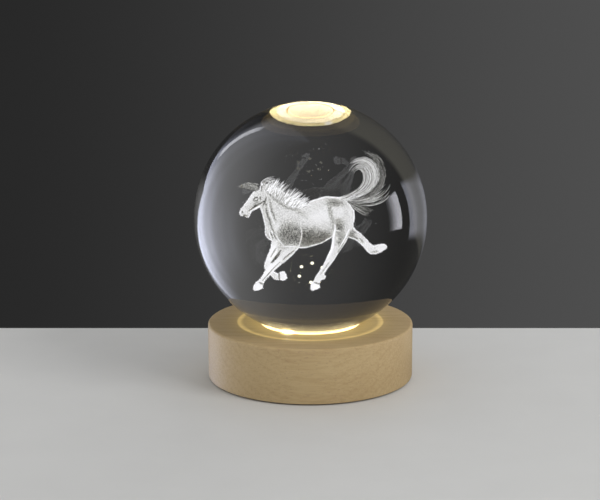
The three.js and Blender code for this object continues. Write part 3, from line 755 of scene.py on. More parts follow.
# %% Body parts
# A station: the middle of an oval in pixels, its half depth in the picture and, where it differs, its half width.
TORSO = (
    (267.3, 237, 3, 3), (270, 234.8, 8, 7), (275, 231.5, 14), (284, 229, 18.5), (293, 228, 20), (303, 227.5, 20.2),
    (313, 225, 20), (321, 219.5, 20.5), (330, 216, 19.5), (337, 216, 18), (343, 217.5, 15.5), (348, 219, 11.5),
    (351.5, 220.5, 7), (353.5, 221, 2.5),
)
NECK = (
    (291, 236, 6, 4), (288, 230, 13, 9), (284, 224, 17, 11), (280, 219.5, 17, 9), (275, 211, 13.6, 7),
    (269.4, 203.2, 10.2, 5.5), (264.8, 198.3, 8.7, 5), (262.5, 194, 6, 4.5), (261.5, 191.5, 3, 3),
)
HEAD = (
    (266, 193, 3, 3), (264.5, 195, 6, 4.2), (263, 196.5, 7.5, 4.6), (259, 199, 8.2, 5), (254.5, 202.5, 6.6, 4),
    (250.3, 206, 5.3, 3.2), (247, 209.3, 4.3, 2.8), (244.6, 212, 4.2, 2.9), (242.6, 214, 3.4, 2.4),
    (241.4, 215.2, 1.6, 1.2),
)
CHIN = ((250.5, 212.5, 1), (249.5, 213.5, 1.4), (247.5, 216, 1.9), (246.2, 217, 1.0))
NEAR_EAR = ((262.5, 193, 1.6), (262, 190, 2.1), (262.3, 187, 1.7), (263, 183.5, 0.8))
FAR_EAR = ((258, 193, 1.8), (257, 191, 2.1), (255.5, 188.5, 1.5), (254.3, 186, 0.8))
CREST = (
    (262, 187, 1.5), (264.5, 187, 3), (269, 188.5, 4), (277, 193.5, 4.6), (286, 199.5, 4.8), (295, 203.8, 4),
    (303, 206.3, 2.2), (309, 207.5, 1),
)
DOCK = ((334, 203.5, 2), (338, 202, 3.4), (341, 200.5, 3), (346, 198.3, 2.6), (352, 195.5, 1.5))
NEAR_FORE = (
    (296, 232, 3), (295, 237, 7), (291.5, 245, 7.2), (287, 253, 5.2), (281.5, 259.3, 3.7), (276, 264.3, 3.1),
    (271.5, 268.5, 3.1), (268, 272.3, 3.3), (265.3, 276, 2.5), (263, 279.2, 2.3), (261.4, 281.6, 2.9),
    (259.8, 283.6, 3.6), (258.8, 285.6, 4.2), (258.6, 287.3, 4.6), (259, 288.6, 4.4),
)
FAR_FORE = (
    (284, 232, 3), (282, 237, 8), (279, 244, 7.6), (275.3, 250.5, 5.3), (271.3, 257, 4), (268.2, 263, 3.2),
    (267.3, 267, 3.3), (268.6, 270, 2.7), (271, 272.8, 2.3), (273.6, 275.2, 2.5), (276.2, 277, 3.2),
    (278.7, 277.2, 2.7), (281, 276.8, 3.9), (283.8, 276, 4.3), (285.4, 275.4, 3.7),
)
NEAR_HIND = (
    (342, 201.5, 3), (342, 205, 8), (341.5, 211, 12.3), (341.5, 219, 12), (341.5, 227, 10), (340.5, 235, 7.8),
    (338, 243, 5.9), (334.5, 251, 4), (330.5, 258.5, 3.7), (326.5, 265, 2.8), (323, 270.5, 2.5),
    (319.8, 275.5, 2.7), (318, 278.4, 3.1), (317.2, 281, 2.9), (316, 283.2, 3.6), (315.2, 285.3, 4.2),
    (315.3, 287.2, 4.7), (315.9, 288.8, 4.5),
)
FETLOCK_TUFT = ((318.5, 276, 2), (321, 276.6, 3), (323.3, 276.9, 2.8), (325.3, 277.1, 1.2))
FAR_HIND = (
    (342, 215, 3), (343, 220, 8), (345.5, 227, 8.5), (350, 232.5, 5.8), (354, 234.3, 4.5), (358, 236.5, 4),
    (362, 240, 3.7), (365.8, 244, 3.4), (368.8, 247.3, 3.6), (371.8, 249.7, 4.3), (375, 249.8, 4.2),
    (378.5, 248.6, 4), (382, 247.4, 3.4), (384.6, 246.6, 2.4), (386.4, 246.2, 1.2),
)
# How far the fore legs stand to the side, in millimetres, and the hind ones' share of it.
NEAR_SIDE, FAR_SIDE, HIND_SHARE = -2.2, 2.1, 0.85
OVAL_SIDES = 24


def limb(stations, side=0.0, flat=0.85):
    """A part of the body: a round face drawn out from one oval to the next."""
    places = [Vector(station[:2]) for station in stations]
    take()
    bpy.ops.mesh.primitive_circle_add(vertices=OVAL_SIDES, radius=1, fill_type="NGON")
    part = bpy.context.object
    bpy.ops.object.mode_set(mode="EDIT")
    last = Matrix.Identity(4)
    for number, (place, station) in enumerate(zip(places, stations)):
        run = places[min(number + 1, len(places) - 1)] - places[max(number - 1, 0)]
        across = Vector((-run.y, run.x)).normalized() * station[2]
        near, far = (in_ball(*(place + across * way), side) for way in (1, -1))
        half = (near - far) / 2
        wide = Vector((0, half.length * (station[3] / station[2] if len(station) > 3 else flat), 0))
        lie = Matrix((half, wide, half.cross(wide).normalized())).transposed().to_4x4()
        oval = Matrix.Translation((near + far) / 2) @ lie
        if number:
            bpy.ops.mesh.extrude_region_move(TRANSFORM_OT_translate={"value": (0, 0, 0)})
        step = oval @ last.inverted()
        shape = bmesh.from_edit_mesh(part.data)
        for vert in shape.verts:
            if vert.select:
                vert.co = step @ vert.co
        bmesh.update_edit_mesh(part.data)
        last = oval
    work_done()
    return part


parts = [
    limb(TORSO, flat=0.8), limb(NECK), limb(HEAD), limb(CHIN, flat=1), limb(NEAR_EAR, -0.45, 0.7),
    limb(FAR_EAR, 0.75, 0.7), limb(CREST, flat=0.4), limb(DOCK, flat=1), limb(NEAR_FORE, NEAR_SIDE),
    limb(FAR_FORE, FAR_SIDE), limb(NEAR_HIND, NEAR_SIDE * HIND_SHARE, 0.7),
    limb(FETLOCK_TUFT, NEAR_SIDE * HIND_SHARE), limb(FAR_HIND, FAR_SIDE * HIND_SHARE, 0.7),
]
print("Parts of the body:", len(parts))

# %% Join the body
SKIN_MM = 0.15
SKIN_SMOOTHING = 5
take(*parts)
bpy.ops.object.join()
horse = parts[0]
modify(horse, "REMESH", mode="VOXEL", voxel_size=SKIN_MM)
modify(horse, "SMOOTH", factor=0.5, iterations=SKIN_SMOOTHING)
take(horse)
bpy.ops.object.shade_smooth()
print("Body:", len(horse.data.polygons), "faces")

# %% [markdown]
# ### Tone
# Every point of the skin gets a tone, from about 0 for dark to 1 for white. The cloud looks denser edge on, at the
# outline. Soft strokes darken the shoulder, belly and thigh and lighten other parts, and fine lines draw the face,
# the folds and the sinews.

# %% Tone of the skin
# A stroke: its middle in pixels, half length, half breadth, turn in degrees, and the tone it pulls towards.
STROKES = (
    (321, 216, 17, 8, -10, 0.94), (303, 212, 8, 4, 0, 0.86), (289.5, 235.5, 13, 12.5, 0, 0.5),
    (309.5, 238.5, 13, 9.5, -4, 0.38), (322.5, 238, 10, 6, -22, 0.42), (277, 227, 5, 3.2, -60, 0.92),
    (280, 211, 9, 5, 40, 0.87), (268.5, 212, 9, 3, 80, 0.76), (299, 222, 6, 2, 75, 0.85),
    (335, 202.8, 8.5, 3.6, 8, 0.53), (330, 211, 9, 2.2, 82, 0.66), (340, 213, 4, 6, 0, 0.92),
    (350, 218, 3, 13, 0, 0.9), (338.5, 227, 5, 7.5, 0, 0.5), (340.5, 240, 6.5, 3.4, -62, 0.58),
    (257, 204, 5, 2.4, -40, 0.7), (250, 200, 9, 2.4, -50, 0.94), (243.5, 211, 3.5, 3, 0, 0.93),
    (262.5, 196, 3, 2.5, 0, 0.86), (271, 253, 6, 15, 15, 1.0), (289, 252, 9, 5, -45, 0.9),
    (270, 270, 19, 4.5, -47, 1.01), (334, 250, 7, 4, -60, 0.88), (325, 266, 15, 4.5, -58, 0.95),
    (319, 279, 4, 6, 30, 0.94), (352, 235, 3.4, 5, 20, 0.5), (367, 246, 10, 5, 42, 0.93),
    (258.5, 286.5, 5, 5, 0, 1.02), (282, 276.5, 6, 5, 0, 0.98), (315.5, 286.5, 5.5, 5, 0, 1.03),
    (381, 248.5, 7, 5, -15, 0.95), (286, 202, 24, 2.4, 36, 0.66), (269.5, 240, 2.6, 5, -20, 0.7),
    (374, 252.4, 4, 1.6, -15, 0.7),
)
# A line: the tone it pulls towards, its half breadth in pixels, and the points that it runs through.
LINES = (
    (0.3, 0.75, (249.3, 210.8), (254.8, 206.8), (260, 203.8), (265, 200.8)),
    (0.36, 0.8, (266.6, 197.5), (265.4, 202), (263, 206)), (0.3, 0.7, (253.8, 200.2), (255.2, 198.2), (258, 197.4)),
    (0.4, 0.6, (254.5, 201), (257, 200.8), (258.6, 199.4)), (1.05, 0.5, (256, 199.6), (257.2, 199.2)),
    (0.34, 0.9, (260.2, 197.4), (261, 199.2)), (0.3, 0.8, (243.2, 211.4), (242.6, 212.6)),
    (0.28, 0.7, (243, 216.4), (245.4, 215.4), (247.4, 216)),
    (1.05, 0.7, (250, 212.4), (255.4, 208.6), (260.6, 205.6)),
    (0.5, 0.8, (266.2, 204), (266.4, 212), (269.4, 219), (272, 228), (276, 236.5)),
    (0.56, 0.9, (269.8, 199), (271.2, 206), (272.6, 213), (276, 221)),
    (0.98, 0.8, (268.4, 203), (269.2, 210), (271.8, 217), (274.6, 224)),
    (1.0, 0.55, (274.6, 233), (279, 240), (284, 246)), (1.05, 0.7, (271.6, 231), (274.6, 237), (277.6, 241.8)),
    (0.45, 0.6, (273.4, 233.6), (276.8, 240)), (1.05, 0.6, (269, 233), (271.5, 239)),
    (0.4, 0.6, (270.6, 232), (273, 238)), (0.98, 0.6, (301.2, 229), (302, 234), (301, 240), (298.8, 246)),
    (0.4, 0.8, (303.4, 231), (303.2, 241)), (0.7, 1.5, (331.6, 213), (333, 221), (333.4, 229)),
    (1.06, 1.3, (334.8, 224.5), (335.4, 230), (333.6, 235), (332.8, 241), (332.6, 248), (327.5, 258)),
    (0.98, 0.7, (335.5, 230.4), (340.4, 230.8)), (1.05, 0.8, (326.4, 239.4), (329.8, 239.8)),
    (0.45, 0.7, (327, 237.4), (331, 235.6)), (0.4, 0.6, (294.4, 250.4), (289, 254.2), (283, 259.5)),
    (0.5, 0.5, (280, 262), (274.6, 267), (268.6, 273.6), (263, 280)),
    (0.2, 0.8, (280.6, 250.6), (276.4, 256), (271, 263)), (0.55, 0.6, (275.6, 248.6), (270.6, 257)),
    (1.05, 0.7, (276.8, 251), (272.6, 257.6)), (0.6, 0.5, (329.4, 261.6), (324.6, 268.6), (320.6, 274.2)),
    (0.36, 0.6, (259.6, 281.8), (264, 284)), (0.32, 0.6, (314.6, 282.4), (320, 284)),
    (0.3, 0.7, (278.8, 273.4), (279.2, 280)), (0.4, 0.8, (354, 236.6), (358, 239)),
    (0.45, 0.7, (360, 238.4), (363.6, 243)), (0.5, 0.6, (346, 238), (342, 245), (338, 252)),
    (1.04, 0.8, (349, 229), (345, 238), (340, 247)), (0.45, 0.6, (262.4, 186), (262, 191)),
    (0.64, 1.5, (267, 191.5), (271, 196), (277, 201), (283, 205.6), (288.4, 208.6), (294, 210)),
    (1.0, 0.6, (283, 246.6), (291, 246.2), (299, 246.8)), (1.04, 0.6, (297, 248), (296.6, 252), (291, 256)),
)
BASE_TONE, TOP_TONE, EDGE_TONE = 0.845, 0.04, 1.04
DARKEST, LIGHTEST = 0.15, 1.1
OUTLINE_PX = 1.1
CELL_PX = 0.6
EDGE_CELLS = 5


def along(guide, shares):
    """Places on a guide line of pixels at shares of its length."""
    guide = np.array(guide, dtype=float)
    steps = np.concatenate([[0], np.cumsum(np.hypot(*np.diff(guide, axis=0).T))])
    fine = np.linspace(0, 1, 60)
    line = np.stack([np.interp(fine, steps / steps[-1], guide[:, axis]) for axis in (0, 1)])
    for _ in range(12):
        line[:, 1:-1] = (line[:, :-2] + line[:, 2:]) / 2
    return np.stack([np.interp(shares, fine, line[axis]) for axis in (0, 1)], axis=-1)


def off_line(px, py, points):
    """How far pixels lie from a line, and at what share of its length."""
    line = along(points, np.linspace(0, 1, 9))
    nearest, share = np.full(len(px), np.inf), np.zeros(len(px))
    for number, (start, run) in enumerate(zip(line[:-1], np.diff(line, axis=0))):
        reach = np.clip(((px - start[0]) * run[0] + (py - start[1]) * run[1]) / (run @ run), 0, 1)
        gap = np.hypot(px - start[0] - reach * run[0], py - start[1] - reach * run[1])
        share = np.where(gap < nearest, (number + reach) / 8, share)
        nearest = np.minimum(gap, nearest)
    return nearest, share


def depth_inside(px, py):
    """How deep pixels lie inside the outline that all of them fill, in pixels and no more than about 3."""
    column, row = (((value - value.min()) / CELL_PX + 8).astype(int) for value in (px, py))
    filled = np.zeros((row.max() + 9, column.max() + 9), dtype=bool)
    filled[row, column] = True

    def shrink(cells, full):
        """Takes cells off at the edge, or with full False adds them there."""
        sides = [np.roll(cells, way, axis) for way in (1, -1) for axis in (0, 1)]
        return np.all([cells, *sides], axis=0) if full else np.any([cells, *sides], axis=0)

    filled = shrink(shrink(filled, False), True)
    depth = np.zeros(filled.shape)
    for _ in range(EDGE_CELLS):
        depth += filled * CELL_PX
        filled = shrink(filled, True)
    return depth[row, column]


def tones_at(places, normals):
    """The tone at each of the given places."""
    px, py = in_picture(places)
    tone = BASE_TONE + TOP_TONE * normals[:, 2]
    for middle_x, middle_y, half_length, half_breadth, turn, value in STROKES:
        cosine, sine = math.cos(math.radians(turn)), math.sin(math.radians(turn))
        lengthways = ((px - middle_x) * cosine + (py - middle_y) * sine) / half_length
        aside = ((py - middle_y) * cosine - (px - middle_x) * sine) / half_breadth
        tone += (value - tone) * np.exp(-(lengthways ** 2 + aside ** 2) ** 1.5)
    edge = np.clip((OUTLINE_PX + 0.7 - depth_inside(px, py)) / 1.2, 0, 1)
    tone += (EDGE_TONE - tone) * edge
    for value, half_breadth, *points in LINES:
        gap, share = off_line(px, py, points)
        taper = 0.55 + 0.45 * np.sin(math.pi * share)
        tone += (value - tone) * np.exp(-(gap / (half_breadth * taper)) ** 2)
    return np.clip(tone, DARKEST, LIGHTEST)


def points_of(mesh):
    """The places and normals of a mesh's vertices."""
    places, normals = np.empty(len(mesh.vertices) * 3), np.empty(len(mesh.vertices) * 3)
    mesh.vertices.foreach_get("co", places)
    mesh.vertices.foreach_get("normal", normals)
    return places.reshape(-1, 3), normals.reshape(-1, 3)


def give_tone(mesh, tone):
    values = np.ascontiguousarray(tone, dtype=np.float32)
    mesh.attributes.new("tone", "FLOAT", "POINT").data.foreach_set("value", values)


skin_places, skin_normals = points_of(horse.data)
skin_tone = tones_at(skin_places, skin_normals)
give_tone(horse.data, skin_tone)
print("Tone from", round(float(skin_tone.min()), 2), "to", round(float(skin_tone.max()), 2))

# %% Engraving finish
COARSE_GRAIN, FINE_GRAIN, GRAIN_DEPTH = 3.9, 8, 2.7
# Painted light: the LED light that the cracks scatter is painted into the emission, so the horse, mane, tail and
# specks glow by themselves.
engraving, recipe = finish("engraving")
light = recipe.add("ShaderNodeAttribute", output="Fac", attribute_name="tone") ** 2.2
coarse, fine = recipe.noise(COARSE_GRAIN, 2, 0.7), recipe.noise(FINE_GRAIN, 1)
grain = recipe.between(coarse * 0.7 + fine * 0.3, 0.42, 0.58)
level = light + (grain - 0.5) * light * (1.04 - light) ** 1.5 * GRAIN_DEPTH
tint = recipe.blend(light, (1, 1, 0.92, 1), (0.985, 0.985, 1.02, 1))
recipe.surface(
    Base_Color=recipe.blend(coarse, grey(0.02), grey(0.05)),
    Roughness=0.9,
    Emission_Color=recipe.scaled(tint, level),
    Emission_Strength=1,
)


def into_the_ball(piece, material=engraving):
    """Brings a piece from millimetres round the origin to its size and place in the ball."""
    take(piece)
    bpy.ops.transform.resize(value=(MM,) * 3, center_override=(0, 0, 0))
    bpy.ops.transform.translate(value=BALL_MIDDLE)
    hand_over(piece, piece.name, "crystal", "engraving", material)


print("Engraving finish ready")

# %% [markdown]
# ### Mane and tail
# Mane and tail stream back in fine separate strands, light ones over dark gaps. Each strand belongs to a lock and
# tapers at both ends. The tail's strands run between two guide lines read off the photograph, and those of the mane
# from a line of roots to a line of tips.

# %% Strands
SEED = 20
chance = np.random.default_rng(SEED)


def strands_between(first, second, count, locks, start, end, wander, points=12):
    """Paths between two guide lines, as places in the glass. The strands of one lock close up towards its tip."""
    lock_mix = (np.arange(locks) + chance.uniform(0.2, 0.8, locks)) / locks
    lock_end = chance.uniform(*end, locks)
    paths = []
    for _ in range(count):
        lock = chance.integers(locks)
        begin = chance.uniform(*start)
        finish_at = max(lock_end[lock] - abs(chance.normal(0, 0.06)), begin + 0.12)
        shares = np.linspace(begin, finish_at, points)
        closing = np.clip((lock_end[lock] - shares) / 0.5, 0.12, 1)
        mix = (lock_mix[lock] + chance.normal(0, 0.62 / locks) * closing)[:, None]
        line = along(first, shares) * (1 - mix) + along(second, shares) * mix
        sway = np.sin(shares * 9 + lock * 2.4 + chance.normal(0, 0.5)) * wander
        line += sway[:, None] * (0.5, 0.4)
        side = np.linspace(chance.normal(0, 0.6), chance.normal(0, 1.2), points)
        paths.append([in_ball(px, py, y) for (px, py), y in zip(line, side)])
    return np.array(paths)


def strands_from(roots, tips, count, locks, reach, spread, bow=1.2, depth=1.0, points=9):
    """Paths from a line of roots to a line of tips. The strands of one lock meet at its tip."""
    lock_shares = (np.arange(locks) + chance.uniform(0.1, 0.9, locks)) / locks
    lock_reach = chance.uniform(*reach, locks)
    lock_drift = chance.normal(0, 0.7, (locks, 2))
    way = np.linspace(0, 1, points)[:, None]
    paths = []
    for _ in range(count):
        lock = chance.integers(locks)
        root_share = np.clip(lock_shares[lock] + chance.normal(0, spread), 0, 1)
        root = along(roots, np.array([root_share]))[0] + chance.normal(0, spread * 20, 2)
        tip = along(tips, lock_shares[lock:lock + 1])[0] + lock_drift[lock] + chance.normal(0, 0.22, 2)
        line = root + (tip - root) * way * lock_reach[lock] * chance.uniform(0.86, 1.0)
        line[:, 1:] -= chance.normal(bow, bow * spread * 10) * np.sin(way * math.pi)
        line[:, :1] += chance.normal(0, spread * 10) * np.sin(way * math.pi)
        side = np.linspace(chance.normal(0, depth * 0.4), chance.normal(0, depth), points)
        paths.append([in_ball(px, py, y) for (px, py), y in zip(line, side)])
    return np.array(paths)


def strand_tones(count, dark_share, dark, light=0.95):
    """A tone for each strand: some dark ones between the light ones."""
    is_dark = chance.random(count) < dark_share
    dark_tones = chance.uniform(dark * 0.6, dark * 1.5, count)
    return np.where(is_dark, dark_tones, chance.uniform(light * 0.7, light * 1.1, count))


def loose_piece(name, places, faces, tones):
    """A piece that is made of its places and faces, with a tone at each place."""
    mesh = bpy.data.meshes.new(name)
    mesh.from_pydata(places.reshape(-1, 3).tolist(), [], faces)
    piece = bpy.data.objects.new(name, mesh)
    bpy.context.collection.objects.link(piece)
    give_tone(mesh, tones)
    return piece


def fibres(name, paths, radius, tones):
    """Three-sided tapered strands along the paths, closed at both ends."""
    count, points, _ = paths.shape
    run = np.gradient(paths, axis=1)
    run /= np.linalg.norm(run, axis=2, keepdims=True)
    first = np.cross(run, (0.13, 1.0, 0.21))
    first /= np.linalg.norm(first, axis=2, keepdims=True)
    second = np.cross(run, first)
    taper = np.sin(np.linspace(0.12, 1, points) ** 0.7 * (math.pi - 0.15))[None, :, None] * 0.85 + 0.15
    thick = radius * taper * chance.uniform(0.7, 1.25, (count, 1, 1))
    angles = [corner * math.tau / 3 for corner in range(3)]
    corners = [paths + thick * (first * math.cos(angle) + second * math.sin(angle)) for angle in angles]
    faces = []
    for start in range(0, count * points * 3, points * 3):
        end = start + (points - 1) * 3
        faces.append((start, start + 2, start + 1))
        for ring in range(start, end, 3):
            for one, two in ((0, 1), (1, 2), (2, 0)):
                faces.append((ring + one, ring + two, ring + 3 + two, ring + 3 + one))
        faces.append((end, end + 1, end + 2))
    piece = loose_piece(name, np.stack(corners, axis=2), faces, np.repeat(tones, points * 3))
    work_on(piece)
    work_done()
    return piece


# Pairs of guide lines in pixels: roots and tips, or one side and the other.
MANE = (
    (
        (264.5, 191), (267, 191.5), (271, 194), (277, 198.5), (283, 203),
        (289, 206), (295, 208), (301, 208.3), (305, 207.5),
    ),
    (
        (271, 179.5), (276, 178), (283, 181), (291, 185.5), (298, 189.5),
        (304, 194), (309, 198.5), (312.5, 202.5), (314, 205.5),
    ),
)
POLL = (
    ((261.5, 190), (261, 183.5), (265, 179), (271, 177.4), (277, 175.6)),
    ((266, 190), (266.5, 186.5), (269.5, 183.5), (274, 181.5), (279, 180.5)),
)
FORELOCK = (
    ((255, 190), (259, 188.5)),
    ((238, 188), (243, 183.5), (250, 184)),
)
CURL = (
    ((341, 197.5), (350, 193), (358.5, 188.5), (363, 182), (363, 175), (360.5, 170), (357, 169.8), (354, 175.5)),
    (
        (343, 202), (357, 198.5), (368.5, 193.5), (377, 186), (380, 177),
        (378, 166.5), (371, 159), (361, 156), (351, 158.5), (344, 170),
    ),
)
SHELL = (
    ((350, 200), (364, 196.5), (373, 190), (378, 181), (378.5, 171), (374, 162), (366, 156.5)),
    ((350, 202), (366, 199.5), (377, 193), (384, 183), (385, 171), (381, 160), (373, 153), (361, 151.5)),
)
PLUME = (
    ((345, 200.5), (357, 199), (368, 195.5), (377, 190.5), (384, 184), (388.5, 176)),
    ((346, 203), (358, 205), (371, 206), (380, 203.5), (387, 198.5), (391, 190)),
)
FALL = (
    ((347, 202.5), (356, 204.5), (365, 206), (372.5, 208.5), (375.5, 211)),
    ((347, 203.5), (353, 208), (358, 212.5), (364, 216), (371, 216)),
)
# A row of the mane: strands, locks, how far they reach to the tips, spread, and tones. Tones are the share of dark
# strands, their tone and that of the light ones.
MANE_LOCKS = (
    (640, 110, (0.32, 0.66), 0.035, (0.2, 0.5, 1.06)),
    (260, 74, (0.78, 1.1), 0.005, (0.12, 0.45, 1.05)),
)
POLL_COUNT, FORELOCK_COUNT = 34, 200
# A row of the tail: guide lines, strands, locks, where they start and end, sway, and tones.
TAIL_LOCKS = (
    (CURL, 380, 26, (0, 0.3), (0.78, 1.0), 0.35, (0.4, 0.34, 0.92)),
    (PLUME, 170, 17, (0, 0.4), (0.62, 1.0), 0.7, (0.5, 0.28, 0.8)),
    (FALL, 170, 44, (0, 0.6), (0.5, 1.0), 1.2, (0.64, 0.26, 0.7)),
    (SHELL, 70, 22, (0, 0.3), (0.35, 0.75), 1.2, (0.6, 0.26, 0.5)),
    (SHELL, 170, 90, (0.25, 0.86), (0, 0), 2.0, (0.6, 0.26, 0.6)),
)
MANE_RADIUS, TAIL_RADIUS = 0.055, 0.05

mane_paths = [strands_from(*MANE, count, locks, reach, spread) for count, locks, reach, spread, _ in MANE_LOCKS]
mane_paths.append(strands_between(*POLL, POLL_COUNT, 30, (0, 0.5), (0.5, 1.08), 0.9, points=9))
mane_tones = [strand_tones(row[0], *row[-1]) for row in MANE_LOCKS]
mane_tones.append(strand_tones(POLL_COUNT, 0.3, 0.4, 0.92))
into_the_ball(fibres("mane", np.concatenate(mane_paths), MANE_RADIUS, np.concatenate(mane_tones)))
forelock_paths = strands_from(*FORELOCK, FORELOCK_COUNT, 160, (0.6, 1.05), 0.06, 1.4, 0.6)
into_the_ball(fibres("forelock", forelock_paths, TAIL_RADIUS, strand_tones(FORELOCK_COUNT, 1.0, 0.47)))
tail_paths = np.concatenate([strands_between(*guides, *rest) for guides, *rest, _ in TAIL_LOCKS])
tail_tones = np.concatenate([strand_tones(row[1], *row[-1]) for row in TAIL_LOCKS])
into_the_ball(fibres("tail", tail_paths, TAIL_RADIUS, tail_tones))

# %% [markdown]
# ### Single cracks
# Close up, the engraving is single bright specks. They lie in and just over the skin, more of them where the tone is
# light. Stray ones fringe the tail, and a few float in the clear glass.

# %% Specks
SPECK_COUNT = 36000
SPECK_MM = 0.05
SKIN_LIFT, SKIN_SCATTER = 0.12, 0.06
ABOVE_BACK_X, ABOVE_BACK_Y, ABOVE_BACK_COUNT = (285, 330), (145, 185), 26
AT_NOSE, AT_NOSE_COUNT = (246, 205), 8
LONE_SPECKS = [(391.3, 195.6), (375.5, 224)]
FRINGE_COUNT = 150


def specks(name, places, sizes, tones):
    """A tiny four-faced speck at each place."""
    corners = np.array([(1, 1, 1), (1, -1, -1), (-1, 1, -1), (-1, -1, 1)]) / math.sqrt(3)
    turn = np.linalg.qr(chance.normal(size=(len(places), 3, 3)))[0]
    turn[np.linalg.det(turn) < 0] *= -1
    points = places[:, None, :] + np.einsum("nij,kj->nki", turn, corners) * sizes[:, None, None]
    sides = np.array([(0, 1, 2), (0, 3, 1), (0, 2, 3), (1, 3, 2)])
    faces = (np.arange(len(places))[:, None, None] * 4 + sides).reshape(-1, 3).tolist()
    return loose_piece(name, points, faces, np.repeat(tones, 4))


weight = skin_tone ** 2 + 0.05
chosen = chance.choice(len(skin_places), SPECK_COUNT, p=weight / weight.sum())
speck_places = skin_places[chosen] + skin_normals[chosen] * chance.uniform(0.0, SKIN_LIFT, (SPECK_COUNT, 1))
speck_places += chance.normal(0, SKIN_SCATTER, (SPECK_COUNT, 3))
speck_tones = np.clip(skin_tone[chosen] * 0.8 + 0.2, 0, 1.04) * chance.uniform(0.95, 1.05, SPECK_COUNT)
speck_sizes = chance.uniform(0.5, 1.0, SPECK_COUNT) ** 2 * 1.9 * SPECK_MM
into_the_ball(specks("skin_specks", speck_places, speck_sizes, speck_tones))

stray = [(chance.uniform(*ABOVE_BACK_X), chance.uniform(*ABOVE_BACK_Y)) for _ in range(ABOVE_BACK_COUNT)]
stray += [(AT_NOSE[0] + chance.normal(0, 1.6), AT_NOSE[1] + chance.normal(0, 2)) for _ in range(AT_NOSE_COUNT)]
stray += LONE_SPECKS
for share in chance.uniform(0.3, 1, FRINGE_COUNT):
    inner, outer = (along(guide, np.array([share]))[0] for guide in SHELL)
    stray.append(tuple(inner + (outer - inner) * chance.uniform(0.1, 1.1)))
stray_places = np.array([in_ball(px, py, chance.normal(0, 1)) for px, py in stray])
stray_sizes = chance.uniform(0.8, 1.3, len(stray)) * SPECK_MM
into_the_ball(specks("stray_specks", stray_places, stray_sizes, chance.uniform(0.5, 1.6, len(stray))))

# %% [markdown]
# The LEDs mirror themselves in the ball, first in its top and then in its underside, as a tilted ring of six small
# bright points under the belly. Six small round glints stand for them.

# %% Glints
GLINTS = ((301.4, 267.0), (312.2, 263.5), (322.3, 267.9), (323.3, 276.6), (310.9, 282.3), (299.3, 276.3))
GLINT_MIDDLE_PY = 273
GLINT_RADIUS = 0.36
GLINT_TILT = 0.55
take()
beads = []
for px, py in GLINTS:
    mm_per_px = in_ball(px, py).length / math.hypot(px - BALL_MIDDLE_PX[0], py - BALL_MIDDLE_PX[1])
    place = in_ball(px, py, (GLINT_MIDDLE_PY - py) * GLINT_TILT * mm_per_px)
    bpy.ops.mesh.primitive_ico_sphere_add(subdivisions=3, radius=GLINT_RADIUS, location=place)
    bpy.ops.transform.resize(value=(1.1, 1, 0.95))
    bpy.ops.object.shade_smooth()
    beads.append(bpy.context.object)
take(*beads)
bpy.ops.object.join()
bpy.ops.object.transform_apply(location=True, rotation=True, scale=True)
glint, recipe = finish("glint")
shimmer = recipe.noise(1.5)
recipe.surface(
    Base_Color=recipe.blend(shimmer, grey(0.02), grey(0.03)),
    Roughness=0.5,
    Emission_Color=recipe.blend(shimmer, (1.25, 1.2, 0.95, 1), (1.5, 1.45, 1.2, 1)),
    Emission_Strength=1,
)
beads[0].name = "led_glints"
into_the_ball(beads[0], glint)
horse.name = "galloping_horse"
into_the_ball(horse)
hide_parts("engraved_horse")

# %% [markdown]
# ## Finishes of the inner pieces
# The board, LEDs, resistors, screws, nut, pin, cover, switch and wires keep the CAD's form, and each gets its own
# finish: a pale printed board with fine copper lines under its lacquer, LEDs with a lit yellow lens, plated screws,
# moulded black plastic with a fine texture, and wires with a soft sheen.

# %% Finishes of the inner pieces
LED_GLOW = 9
LENS_RADIUS = 1.1
TRACKS = ((10.3, 11.3), (6.0, 6.8))
TRACK_EDGE = 0.2
nodes = frame["nodes"]


def moulded(name, dark, light, roughness, cell, relief=0.03):
    """Plastic or lacquer with a fine mould texture and a little wear."""
    material, recipe = finish(name)
    texture = recipe.noise(cell)
    wear_marks = recipe.noise(0.35, 5)
    recipe.surface(
        Base_Color=recipe.blend(recipe.between(wear_marks, 0.35, 0.7), (*dark, 1), (*light, 1)),
        Roughness=recipe.between(texture, 0.3, 0.7, roughness - 0.07, roughness + 0.09),
        Normal=recipe.bump(texture, relief, 0.6),
    )
    return material


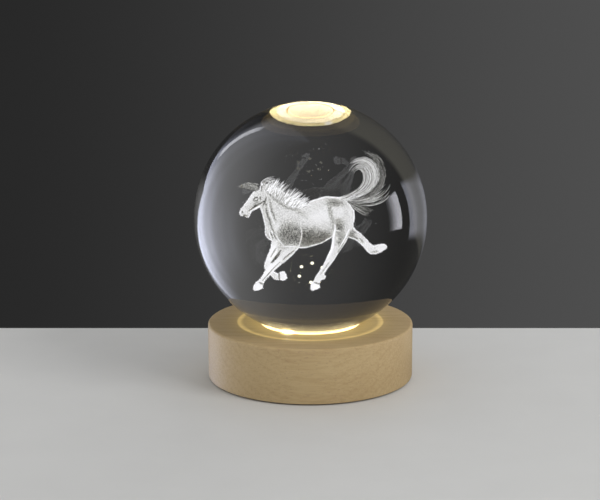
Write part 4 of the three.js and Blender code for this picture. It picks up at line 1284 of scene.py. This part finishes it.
for number in range(1, 7):
    led = nodes[f"led_{number}"]
    led_low, led_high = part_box(led.name)
    middle = ((led_low.x + led_high.x) / 2, (led_low.y + led_high.y) / 2, led_high.z)
    material, recipe = finish(f"{led.name}_finish")
    lens = recipe.between(recipe.reach(centre=middle), LENS_RADIUS - 0.12, LENS_RADIUS, 1, 0)
    lens *= recipe.between(recipe.axis(recipe.coordinates(centre=middle), "Z"), -0.2, -0.14)
    powder = recipe.noise(7, 2, centre=middle)
    phosphor = recipe.blend(powder, (0.9, 0.66, 0.12, 1), (0.96, 0.78, 0.2, 1))
    glow = recipe.blend(powder, (1, 0.8, 0.46, 1), (1, 0.86, 0.56, 1))
    recipe.surface(
        Base_Color=recipe.blend(lens, (0.82, 0.82, 0.79, 1), phosphor),
        Roughness=recipe.between(powder, 0.3, 0.7, 0.3, 0.5),
        Emission_Color=recipe.blend(lens, grey(0), glow),
        Emission_Strength=LED_GLOW,
    )
    wear(led, material)

board_paint, recipe = finish("board_lacquer")
cloud, away = recipe.noise(0.5, 4), recipe.reach()
outer_track, inner_track = (
    recipe.between(away, low, low + TRACK_EDGE) * recipe.between(away, high - TRACK_EDGE, high, 1, 0)
    for low, high in TRACKS
)
track = outer_track.math("MAXIMUM", inner_track)
lacquer = recipe.blend(cloud, (0.3, 0.3, 0.285, 1), (0.34, 0.34, 0.325, 1))
recipe.surface(
    Base_Color=recipe.blend(track * 0.5, lacquer, (0.26, 0.24, 0.17, 1)),
    Roughness=recipe.between(cloud, 0.3, 0.7, 0.26, 0.36),
    Normal=recipe.bump(track, 0.05, 0.7),
)

chip_black = moulded("chip_black", (0.02, 0.02, 0.02), (0.045, 0.045, 0.043), 0.5, 7)
zinc = plated("zinc_plate", (0.56, 0.57, 0.6, 1), (0.44, 0.44, 0.45, 1))
cover_plastic = moulded("cover_plastic", (0.018, 0.018, 0.018), (0.04, 0.04, 0.04), 0.56, 4, 0.06)
wire_red = moulded("wire_red", (0.34, 0.016, 0.012), (0.45, 0.03, 0.02), 0.38, 2.5)
wire_black = moulded("wire_black", (0.014, 0.014, 0.014), (0.03, 0.03, 0.03), 0.38, 2.5)
for material, names in (
    (board_paint, "led_board"), (cover_plastic, "bottom_cover"), (nickel, "inlet_pin inlet_nut"),
    (chip_black, "resistor_1 resistor_2 switch_body"), (wire_black, "wire_inlet_to_board"),
    (wire_red, "wire_inlet_to_switch wire_switch_to_board"),
    (zinc, "board_screw_1 board_screw_2 cover_screw_1 cover_screw_2 cover_screw_3"),
):
    for name in names.split():
        wear(nodes[name], material)
print("Finished:", len(nodes), "nodes in all")
